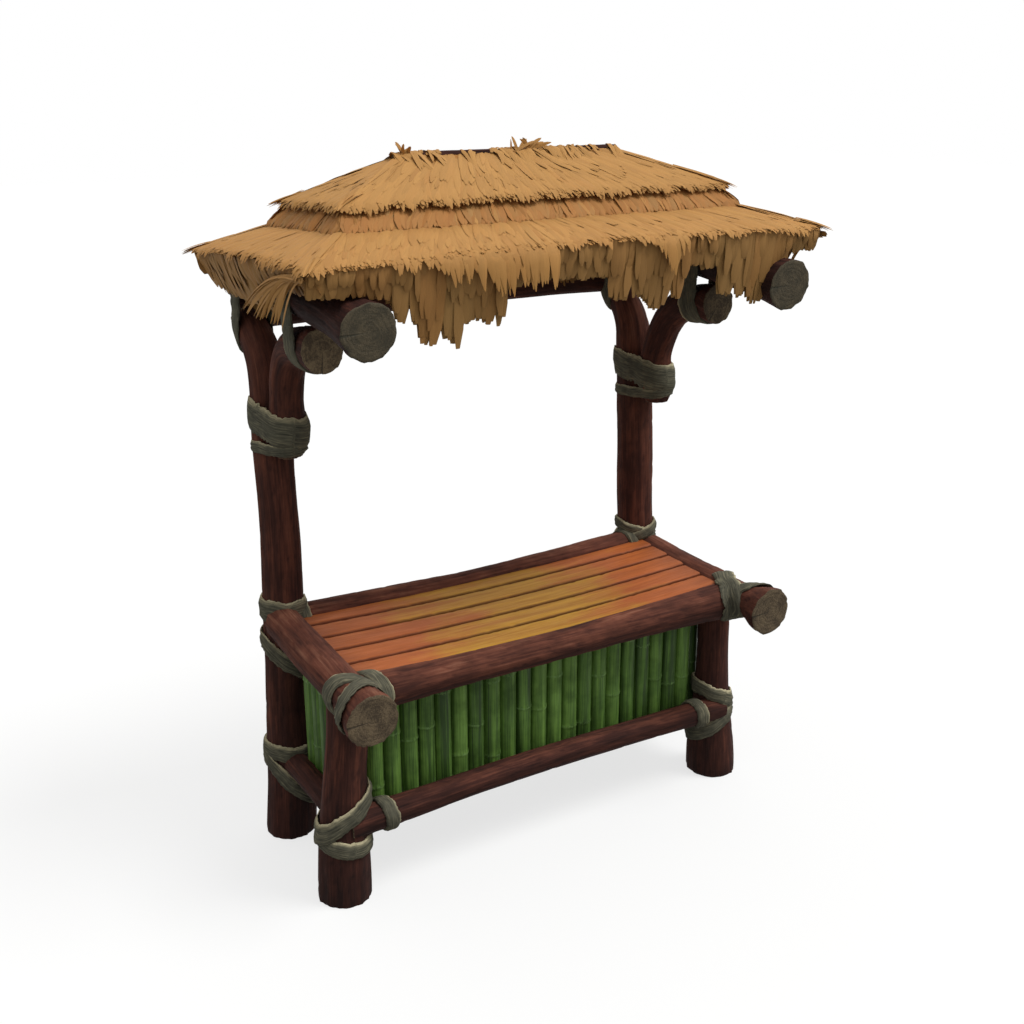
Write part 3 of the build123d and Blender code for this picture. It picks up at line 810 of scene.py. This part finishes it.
def board_material(settings):
    """Sawn softwood board, oiled orange and bleached in the middle by use: flat grain, dark arrises."""
    material, new, grain, part = surface("oiled_sawn_board")
    c = palette(settings)
    along = new("SeparateXYZ", grain).outputs["X"]
    drawn = new("VectorMath", grain, (0.06, 1, 1), operation="MULTIPLY")
    # Flat-sawn grain lines 9 mm apart and a metre or so long
    lines = new("TexNoise", vector=drawn, scale=110, detail=6, roughness=0.65, distortion=0.5)
    broad = new("TexNoise", vector=drawn, scale=26, detail=3, roughness=0.5)
    cloud = new("TexNoise", vector=grain, scale=4.2, detail=3)
    distance = new("Math", along, 0.02, operation="SUBTRACT")
    away = new("Math", distance, operation="ABSOLUTE")
    drifted = new("Math", cloud, 1.05, away, operation="MULTIPLY_ADD")
    streaked = new("Math", broad, -0.5, drifted, operation="MULTIPLY_ADD")
    used = new("MapRange", streaked, 0.4, 0.78, 1, 0)
    oiled = new("Mix", used, c.oiled, c.bleached, data_type="RGBA")
    mixed = new("Math", lines, broad)
    depth = new("MapRange", mixed, 0.82, 1.22, 0, 0.62)
    grained = new("Mix", depth, c.line, oiled, data_type="RGBA")
    blended = new("Mix", 0.42, grained, oiled, data_type="RGBA")
    # Darker along the edges by the gaps, and towards the ends as painted shade where the boards meet the side logs
    arris = new("MapRange", part["X"], 0.9, 1, 0, 0.75)
    end = new("Math", part["Z"], 0.3, operation="MULTIPLY")
    grime = new("Math", arris, end, operation="MAXIMUM")
    dirty = new("Mix", grime, blended, c.grime, data_type="RGBA")
    gloss = new("MapRange", lines, 0.3, 0.7, 0.68, 0.48)
    end_surface(new, dirty, gloss, 0.22, mixed, 0.5, 0.0012)
    return material


def bamboo_material(settings):
    """Fresh-cut bamboo: waxy green wall, pale ring at each joint, bruises and lengthwise fibres."""
    material, new, grain, part = surface("fresh_cut_bamboo")
    c = palette(settings)
    drawn = new("VectorMath", grain, (1, 1, 0.035), operation="MULTIPLY")
    fibres = new("TexNoise", vector=drawn, scale=190, detail=4, roughness=0.6)
    bands = new("TexNoise", vector=drawn, scale=48, detail=2, roughness=0.5)
    bruise = new("TexNoise", vector=grain, scale=14, detail=4)
    scuff = new("TexNoise", vector=grain, scale=95, detail=3)
    own = new("Math", part["Y"], 0.24, bands, operation="MULTIPLY_ADD")
    mixed = new("Math", fibres, 0.7, own, operation="MULTIPLY_ADD")
    level = new("MapRange", mixed, 0.68, 1.25)
    green = new("ValToRGB", level, stops=((0.1, c.deep), (0.5, c.body), (1, c.light)))
    shaded = new("MapRange", bruise, 0.45, 0.75, 0, 0.6)
    bruised = new("Mix", shaded, green, c.deep, data_type="RGBA")
    torn = new("Math", scuff, part["X"], operation="MULTIPLY")
    joint = new("MapRange", torn, 0.36, 0.66, 0, 0.6)
    ringed = new("Mix", joint, bruised, c.joint, data_type="RGBA")
    gloss = new("MapRange", bruise, 0.3, 0.7, 0.42, 0.62)
    end_surface(new, ringed, gloss, 0.22, mixed, 0.4, 0.0008)
    return material


def straw_material(settings):
    """Dry wheat straw, combed and laid: fine lengthwise stems on sunned straw, with painted shade at the covered
    root of each blade and on the straw that hangs under the eave.
    """
    material, new, grain, part = surface("combed_wheat_straw")
    c = palette(settings)
    # Stems drawn 3 mm wide inside each bundle, the finest that the render shows
    drawn = new("VectorMath", grain, (1, 0.05, 1), operation="MULTIPLY")
    stems = new("TexNoise", vector=drawn, scale=330, detail=3, roughness=0.6)
    # The under colour is painted shade of the eave, for the hanging straw
    body = new("ValToRGB", part["Z"], stops=((0, c.sunned), (0.5, c.neck), (1, c.under)))
    own = new("Math", part["Y"], 0.6, stems, operation="MULTIPLY_ADD")
    shade = new("MapRange", own, 0.35, 1.2, 0.88, 1.1)
    varied = new("VectorMath", body, shade, operation="SCALE")
    # Painted shade: each blade darkens towards its root, which the blades above it cover
    root = new("MapRange", part["X"], 0, 0.4, 0.18, 0)
    root_painted_shade = new("Mix", root, varied, c.root, data_type="RGBA")
    end_surface(new, root_painted_shade, 0.72, 0.25, stems, 0.45, 0.001)
    return material


def packed_straw_material(settings):
    """Packed straw in the body of the thatch: crossed stems in shade, seen between the laid bundles."""
    material, new = start("packed_thatch_straw")
    c = palette(settings)
    place = new("TexCoord").outputs["Object"]
    drawn = new("VectorMath", place, (1, 0.12, 0.5), operation="MULTIPLY")
    stems = new("TexNoise", vector=drawn, scale=150, detail=5, roughness=0.65, distortion=0.8)
    clumps = new("TexNoise", vector=place, scale=22, detail=3)
    mixed = new("Math", clumps, 0.5, stems, operation="MULTIPLY_ADD")
    colour = new("ValToRGB", mixed, stops=((0.4, c.root), (0.62, c.neck), (0.95, c.sunned)))
    end_surface(new, colour, 0.85, 0.15, stems, 1, 0.004)
    return material


def strap_material(settings):
    """Flat strap of split palm fibre, pulled tight while wet: long strands, grime, and pale frayed edges, partly
    frayed fibre and partly a painted highlight on the upper edge.
    """
    material, new, grain, part = surface("split_palm_fibre")
    c = palette(settings)
    # Strands 4 mm wide that run with the strap for 60 to 80 mm
    drawn = new("VectorMath", grain, (0.06, 1, 1), operation="MULTIPLY")
    strands = new("TexNoise", vector=drawn, scale=250, detail=4, roughness=0.6, distortion=0.3)
    grime = new("TexNoise", vector=grain, scale=30, detail=3)
    # Pale frayed fibre at the edges, kept to the upper edge as a painted highlight
    frayed = new("MapRange", part["X"], 0.55, 1, 0, 0.42)
    upper = new("Math", frayed, part["Z"], operation="MULTIPLY")
    lit = new("Math", strands, upper)
    dirty = new("Math", grime, -0.35, lit, operation="MULTIPLY_ADD")
    level = new("MapRange", dirty, 0.08, 0.72)
    colour = new("ValToRGB", level, stops=((0, c.grimy), (0.42, c.body), (0.75, c.light), (1, c.frayed)))
    end_surface(new, colour, 0.88, 0.15, strands, 0.9, 0.0016)
    return material


def background_rays(new):
    """Tell the rays that show the backdrop from those that light the stall."""
    path = new("LightPath").outputs
    seen = new("Math", path["Is Camera Ray"], path["Is Glossy Ray"], operation="MAXIMUM")
    return new("Math", seen, path["Is Transmission Ray"], operation="MAXIMUM")


def floor_material(settings):
    """Pale studio floor that shows white behind the object and keeps a soft shadow."""
    material, new = start("pale_studio_floor")
    through = background_rays(new)
    share = new("Math", through, 0.72, operation="MULTIPLY")
    # Light that bounces up from the floor is kept low, as from a dark cloth under the object
    bounce = new("Mix", through, (0.22, 0.22, 0.21, 1), palette(settings).floor, data_type="RGBA")
    matt = new("BsdfDiffuse", color=bounce)
    glow = new("Emission", color=(1, 1, 1, 1), strength=1)
    new("OutputMaterial", surface=new("MixShader", share, matt, glow))
    return material


def colour_property(name, description, hex_colour):
    """A colour that a user can change, given as the eye sees it."""
    return bpy.props.FloatVectorProperty(
        name=name, description=description, subtype="COLOR", size=3, min=0, max=1, default=linear(hex_colour))


class StallPoleSettings(bpy.types.PropertyGroup):
    """Sizes and colours of the poles."""
    hewing: bpy.props.FloatProperty(
        name="Tool hollows", description="Depth of the draw knife's hollows", default=2.4 * MM, min=0,
        max=0.01, unit="LENGTH")
    # Also reached as painted shade, low on the posts and on the logs under the roof
    dark: colour_property("Hollows", "Stain that has gathered in the hollows", "#281A18")
    body: colour_property("Stain", "Main colour of the stained pole", "#4A2C25")
    light: colour_property("Raised grain", "Colour of the raised fibres", "#734536")
    # Top of the pole's colour scale: reached on worn ridges and, as painted light, on upward faces
    rubbed: colour_property("Rubbed ridges", "Where hands and straps have rubbed the stain", "#94644F")
    face: colour_property("Sawn end", "Weathered face of a sawn end", "#655542")
    ring: colour_property("Year rings", "Dark rings of a sawn end", "#4C3E30")
    edge: colour_property("End fuzz", "Pale saw fuzz", "#7C6A52")
    crack: colour_property("Drying cracks", "Cracks in a sawn end", "#2B221B")
    # Green bloom, and painted shade on the ends under the roof
    bloom_and_roof_shade: colour_property("Green bloom", "Bloom on the ends under the roof", "#41443A")


class StallCounterSettings(bpy.types.PropertyGroup):
    """Colours of the boards and canes."""
    oiled: colour_property("Oiled board", "Colour of the boards' ends", "#C46C32")
    bleached: colour_property("Bleached board", "Colour in the middle, where goods are handled", "#C8962F")
    line: colour_property("Grain line", "Dark lines of the sawn grain", "#7E3F22")
    # Darkens the board edges by the gaps, and the ends as painted shade by the side logs
    grime: colour_property("Grime", "Dirt in the gaps between the boards", "#41201A")
    deep: colour_property("Bamboo shade", "Deep green of the canes", "#2B4218")
    body: colour_property("Bamboo", "Main green of the canes", "#527231")
    light: colour_property("Bamboo wax", "Light green along the canes", "#769B48")
    joint: colour_property("Bamboo joint", "Pale ring at each joint", "#86AA68")


class StallThatchSettings(bpy.types.PropertyGroup):
    """Sizes and colours of the thatch."""
    bundle: bpy.props.FloatProperty(
        name="Bundle width", description="Width of one laid bundle of straw", default=27 * MM, min=0.004,
        max=0.04, unit="LENGTH")
    sunned: colour_property("Sunned straw", "Top layer of both tiers", "#B28348")
    neck: colour_property("Neck straw", "Straw of the recessed neck", "#A9733C")
    # Painted shade: the straw under the eave is drawn darker for the eave's shade
    under: colour_property("Under straw", "Straw that hangs in the shade of the eave", "#A27C49")
    root: colour_property("Straw in shade", "Depth between the bundles", "#6B4A26")


class StallStrapSettings(bpy.types.PropertyGroup):
    """Sizes and colours of the straps."""
    thickness: bpy.props.FloatProperty(
        name="Strap thickness", description="Thickness of one fibre strap", default=12 * MM, min=0.002,
        max=0.02, unit="LENGTH")
    grimy: colour_property("Grimy fibre", "Fibre dark with handling", "#33322B")
    body: colour_property("Fibre", "Main colour of the straps", "#5B594B")
    light: colour_property("Dry fibre", "Dry strands on top", "#857F67")
    # Frayed fibre, drawn on the upper edge only, also a painted highlight
    frayed: colour_property("Frayed edge", "Pale frayed edges", "#B5AB8B")


class StallStageSettings(bpy.types.PropertyGroup):
    """Light and floor of the picture."""
    sky: bpy.props.FloatProperty(
        name="High light", description="Strength of the soft light from above", default=0.95, min=0, max=2)
    horizon: bpy.props.FloatProperty(
        name="Low light", description="Strength of the soft light from the sides", default=0.2, min=0, max=2)
    key: bpy.props.FloatProperty(
        name="Key light", description="Strength of the high soft light", default=1.9, min=0, max=10)
    floor: colour_property("Floor", "Colour of the floor", "#F4F4F2")


# Timbers whose vertices the straps are wound round, filled by the pole operator
WOUND = {}


class StallPoles(bpy.types.Operator):
    """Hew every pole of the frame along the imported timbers"""
    bl_idname = "stall.poles"
    bl_label = "Poles"

    def execute(self, context):
        settings = context.scene.stall_poles
        finishes = [pole_material(settings), end_grain_material(settings)]
        for seed, (node, stations) in enumerate(POLES.items(), 1):
            form = Form()
            # The roof logs' ends take more of the darker bloom colour: bloom and painted shade of the roof
            bloom = 0.9 if node.startswith("roof_side_log") else 0.3
            # Painted light: the left fork limb's ends are drawn lighter where the roof log shades them
            pale = 1.6 if node == "fork_limb_left" else 1.0
            WOUND[node] = pole(form, stations, seed, settings.hewing / MM, node in FOOT_POLES, bloom, pale)
            form.piece(f"{node}_pole", finishes, "log", [node])
        return {"FINISHED"}


class StallBoards(bpy.types.Operator):
    """Lay the five counter boards"""
    bl_idname = "stall.boards"
    bl_label = "Counter boards"

    def execute(self, context):
        finish = board_material(context.scene.stall_counter)
        step = (BOARD_REAR_Z - BOARD_FRONT_Z) / BOARDS
        for i in range(BOARDS):
            form = Form()
            board(form, BOARD_FIRST_Y + i * BOARD_PITCH, BOARD_FRONT_Z + (i + 0.5) * step,
                  BOARD_PITCH - BOARD_GAP, i + 1)
            form.piece(f"counter_board_{i + 1}", [finish], "plank", [f"counter_plank_{i + 1}"])
        return {"FINISHED"}


class StallCanes(bpy.types.Operator):
    """Stand the bamboo canes of all four sides"""
    bl_idname = "stall.canes"
    bl_label = "Bamboo panels"

    def execute(self, context):
        finish = bamboo_material(context.scene.stall_counter)
        rng = np.random.default_rng(11)
        offset, short = ((np.arange(count) - (count - 1) / 2) * CANE_PITCH for count in (FRONT_CANES, SIDE_CANES))
        panels = {
            "front": [(x, CANES_FRONT_Y) for x in offset],
            "rear": [(x, CANES_REAR_Y) for x in offset],
            "left": [(-CANES_END_X, CANES_END_Y + y) for y in short],
            "right": [(CANES_END_X, CANES_END_Y + y) for y in short],
        }
        seed = 0
        for side, places in panels.items():
            form = Form()
            for x, y in places:
                seed += 1
                # Painted shade: the end panels' canes take little of the lighter random tone
                cane(form, x, y, seed, rng, 0.1 if side in ("left", "right") else 1.0)
            form.piece(f"bamboo_canes_{side}", [finish], "bamboo", [f"bamboo_panel_{side}"])
        return {"FINISHED"}


class StallThatch(bpy.types.Operator):
    """Lay the thatch of both tiers and the neck, and hang the fringes"""
    bl_idname = "stall.thatch"
    bl_label = "Thatch"

    def execute(self, context):
        settings = context.scene.stall_thatch
        straw = straw_material(settings)
        packed = packed_straw_material(settings)
        for node in ("thatch_lower_tier", "thatch_neck", "thatch_upper_tier"):
            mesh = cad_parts[node].data
            mesh.materials.clear()
            mesh.materials.append(packed)
        width = settings.bundle / MM
        laid = Straw(16, 165, width, 0.08, 8, 0.06)
        # Slope, straw and the share of the slope it covers, its length on the hips, overhangs and their shade
        tiers = {
            "lower_tier_straw": (LOWER_SLOPE, laid, (-0.03, 1.0), 165, (FRONT_OVERHANG, END_OVERHANG), 0.1),
            "neck_straw": (NECK_SLOPE, Straw(13, 75, width, 0.5, 12, 0.17), (-0.1, 1.15), 60, (), 0.0),
            "upper_tier_straw": (
                UPPER_SLOPE, laid._replace(shade=0.0), (-0.08, 1.02), 165, (UPPER_OVERHANG, UPPER_OVERHANG), 0.0),
        }
        rng = np.random.default_rng(5)
        for name, (slope, combed, share, hip_length, tables, shade) in tiers.items():
            form = Form()
            slope_blades(form, rng, slope, combed, share)
            hip_blades(form, rng, slope, combed._replace(length=hip_length))
            for side in range(4 if tables else 0):
                overhang(form, rng, side, tables[side % 2], slope, shade)
            if slope is UPPER_SLOPE:
                ridge_blades(form, rng, width * 0.6)
            form.piece(name, [straw], "thatch")
        for side, name in enumerate(SIDES):
            form = Form()
            inset, arch, tips = ((6, 20, FRONT_TIPS), (10, 8, END_TIPS))[side % 2]
            if name == "left":
                tips = [(-x, drop) for x, drop in reversed(END_TIPS)]
            fringe(form, rng, side, tips, EAVE[side % 2] - inset, EAVE[1 - side % 2],
                   math.radians(FRINGE_LEAN[side]), arch)
            form.piece(f"hanging_straw_{name}", [straw], "thatch", [f"thatch_fringe_{name}"])
        loose = Form()
        fan = np.linspace(0, 1, 22)[:, None]
        for sign in (-1, 1):
            droop = np.array([[sign * 1004, -5, 2104]]) * (1 - fan) + np.array([[sign * 1004, -352, 2112]]) * fan
            tuft(loose, rng, (sign * 1000, -506, 2268), droop + rng.normal(0, 1, (22, 3)) * (4, 7, 9), 17, 44,
                 (3, 16, 4), (sign, -0.5, 0.5), -0.05)
        for place in RIDGE_TUFTS:
            middle = np.mean(place, axis=0)[0]
            tuft(loose, rng, (middle * 0.5 + place[0][0] * 0.5 + 20, ROOF_Y, 2558), place, 13, 5, (24, 6, 1),
                 (0, -1, 0.5))
        corners = [(low, high, (sx, sy, 1)) for low, high in ((EAVE, NECK_FOOT), (UPPER_EDGE, RIDGE))
                   for sx in (-1, 1) for sy in (-1, 1)]
        for low, high, quarter in corners:
            corner = np.multiply(quarter, low)
            back = unit(np.multiply(quarter, high) - corner)
            reach = rng.uniform(18, 50, 9)[:, None]
            ends = corner - back * reach + rng.normal(0, 1, (9, 3)) * (7, 7, 3) + (0, 0, 6)
            tuft(loose, rng, roof_to_stall(corner + back * 90 + (0, 0, 8)) / MM, roof_to_stall(ends) / MM, 11, 3,
                 (12, 12, 2), (0, 0, 1))
        loose.piece("loose_straw_tufts", [straw], "thatch")
        return {"FINISHED"}


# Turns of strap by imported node: the timbers they go round, a point, the axis of the turn, the width, how far
# they lie off the wood and how far the winding looks for wood, in millimetres
TURNS = {
    "fork_band_left": [
        (["rear_post_left", "fork_limb_left"], (-806, 235, 1652), (0.16, -0.12, 1), 112, 1, 170),
        (["rear_post_left", "fork_limb_left"], (-806, 235, 1566), (-0.05, 0.08, 1), 44, -4, 170),
    ],
    "fork_band_right": [
        (["rear_post_right", "fork_limb_right"], (806, 235, 1652), (0.16, -0.12, 1), 112, 1, 170),
        (["rear_post_right", "fork_limb_right"], (806, 235, 1566), (-0.05, 0.08, 1), 44, -4, 170),
    ],
    "fork_tip_lashings": [
        (["fork_limb_left", "roof_side_log_left"], (-812, -92, 2060), (0.06, 1, -0.1), 104, 0, 170),
        (["fork_limb_right", "roof_side_log_right"], (812, -92, 2060), (0.06, 1, -0.1), 104, 0, 170),
        (["rear_post_left", "roof_side_log_left"], (-811, 436, 2040), (0, 1, 0.06), 84, 0, 170),
        (["rear_post_right", "roof_side_log_right"], (815, 436, 2040), (0, 1, 0.06), 84, 0, 170),
    ],
    "counter_lashings_front": [
        (["counter_side_log_left"], (-851, -436, 846), (-0.4, 1, 0.2), 58, 3, 170),
        (["counter_side_log_left"], (-851, -392, 849), (0.6, 1, -0.12), 56, 0, 170),
        (["counter_rail_front"], (-756, -320, 812), (1, 0.4, -0.1), 56, 1, 130),
        (["counter_rail_front", "counter_side_log_right"], (826, -336, 815), (0.86, -0.36, 0.06), 84, 1, 118),
        (["counter_side_log_right"], (854, -420, 838), (0.5, 1, 0.2), 58, 3, 170),
    ],
    "counter_lashings_rear": [
        (["rear_post_left"], (-818, 288, 926), (0.1, -0.02, 1), 84, 2, 170),
        (["rear_post_left"], (-826, 285, 744), (0.7, -0.4, 1), 58, 0, 190),
        (["counter_rail_rear"], (-762, 262, 878), (1, 0, 0), 48, 0, 130),
        (["rear_post_right"], (818, 288, 934), (0.3, -0.1, 1), 46, 0, 170),
        (["rear_post_right"], (820, 288, 916), (-0.32, 0.18, 1), 46, 5, 170),
        (["counter_rail_rear"], (748, 262, 878), (1, 0.2, 0), 44, 0, 130),
    ],
    "foot_lashings_front": [
        (["front_post_left"], (-843, -257, 346), (-0.66, 0.25, 1), 62, 5, 190),
        (["front_post_left"], (-848, -257, 240), (0.14, -0.1, 1), 60, 0, 170),
        (["bottom_rail_front"], (-704, -301, 310), (1, 0.1, 0.1), 54, 1, 130),
        (["front_post_right"], (841, -257, 372), (0.42, -0.12, 1), 60, 4, 170),
        (["front_post_right"], (847, -257, 250), (-0.55, 0.25, 1), 58, 0, 170),
        (["bottom_rail_front"], (718, -301, 310), (1, 0.1, 0.1), 56, 1, 130),
    ],
    "foot_lashings_rear": [
        (["rear_post_left"], (-840, 260, 356), (0.12, -0.05, 1), 62, 2, 170),
        (["rear_post_left"], (-843, 257, 246), (0.85, -0.45, 1), 54, 0, 190),
        (["rear_post_right"], (842, 258, 312), (0.1, 0, 1), 54, 3, 170),
        (["rear_post_right"], (844, 256, 235), (-0.5, 0, 1), 52, 0, 170),
    ],
}


class StallStraps(bpy.types.Operator):
    """Wind the fibre straps round the joints"""
    bl_idname = "stall.straps"
    bl_label = "Straps"

    def execute(self, context):
        if not WOUND:
            raise RuntimeError("The poles come first, as the straps are wound round them")
        settings = context.scene.stall_straps
        finish = strap_material(settings)
        seed = 0
        for node, turns in TURNS.items():
            form = Form()
            for bodies, centre, normal, width, lift, reach in turns:
                seed += 1
                strap(form, [WOUND[body] for body in bodies], centre, normal, width * MM, settings.thickness, seed,
                      reach * MM, lift * MM)
            form.piece(f"{node}_straps", [finish], "lashing", [node], sharp=70)
        return {"FINISHED"}


class StallStage(bpy.types.Operator):
    """Set the floor, the soft light and the camera"""
    bl_idname = "stall.stage"
    bl_label = "Stage"

    def execute(self, context):
        settings = context.scene.stall_stage
        scene = context.scene
        mesh = bpy.data.meshes.new("floor")
        quarters = ((-1, -1), (1, -1), (1, 1), (-1, 1))
        mesh.from_pydata([(x * FLOOR_HALF, y * FLOOR_HALF, 0) for x, y in quarters], [], [(0, 1, 2, 3)])
        mesh.materials.append(floor_material(settings))
        floor = bpy.data.objects.new("floor", mesh)
        floor.location.z = -MM
        scene.collection.objects.link(floor)
        world = bpy.data.worlds.new("studio")
        world.use_nodes = True
        world.node_tree.nodes.clear()
        new = partial(add, world.node_tree)
        heading = new("SeparateXYZ", new("TexCoord").outputs["Generated"]).outputs["Z"]
        dome = new("MapRange", heading, 0, 1, settings.horizon, settings.sky)
        backdrop = new("Mix", background_rays(new), dome, 1)
        sky = new("Background", color=(1, 1, 1, 1), strength=backdrop)
        new("OutputWorld", surface=sky)
        scene.world = world
        lamp = bpy.data.lights.new("key", "SUN")
        lamp.energy = settings.key
        lamp.angle = math.radians(25)
        key = bpy.data.objects.new("key", lamp)
        key.rotation_euler = (math.radians(28), math.radians(18), math.radians(20))
        scene.collection.objects.link(key)
        lens = bpy.data.cameras.new("camera")
        lens.sensor_width = SENSOR
        lens.lens = SENSOR * FOCAL_PIXELS / PICTURE_WIDTH
        camera = bpy.data.objects.new("camera", lens)
        camera.location = (-2.3748, -3.9045, 2.8487)
        camera.rotation_euler = (math.radians(70.558), 0, math.radians(-31.448))
        scene.collection.objects.link(camera)
        scene.camera = camera
        scene.view_settings.view_transform = "Standard"
        return {"FINISHED"}


class StallPanel(bpy.types.Panel):
    """Lists the stall's pieces in the sidebar"""
    bl_idname = "VIEW3D_PT_stall"
    bl_label = "Market stall"
    bl_space_type = "VIEW_3D"
    bl_region_type = "UI"
    bl_category = "Stall"

    def draw(self, context):
        for group in SETTINGS:
            box = self.layout.box()
            box.label(text=group.replace("_", " "))
            settings = getattr(context.scene, group)
            for name in settings.bl_rna.properties.keys():
                if name not in ("rna_type", "name"):
                    box.prop(settings, name)
        for operator in OPERATORS:
            self.layout.operator(operator.bl_idname)


SETTINGS = {
    "stall_poles": StallPoleSettings,
    "stall_counter": StallCounterSettings,
    "stall_thatch": StallThatchSettings,
    "stall_straps": StallStrapSettings,
    "stall_stage": StallStageSettings,
}
OPERATORS = (StallStage, StallPoles, StallBoards, StallCanes, StallThatch, StallStraps)


def register():
    """Make the stall's settings, operators and panel known."""
    for kind in (*SETTINGS.values(), *OPERATORS, StallPanel):
        bpy.utils.register_class(kind)
    for name, kind in SETTINGS.items():
        setattr(bpy.types.Scene, name, bpy.props.PointerProperty(type=kind))


def unregister():
    """Take the stall's settings, operators and panel away."""
    for name in SETTINGS:
        delattr(bpy.types.Scene, name)
    for kind in reversed((*SETTINGS.values(), *OPERATORS, StallPanel)):
        bpy.utils.unregister_class(kind)


def main():
    """Build the stall."""
    register()
    bpy.ops.stall.stage()
    bpy.ops.stall.poles()
    bpy.ops.stall.boards()
    bpy.ops.stall.canes()
    bpy.ops.stall.thatch()
    bpy.ops.stall.straps()


if __name__ == "__main__":
    main()
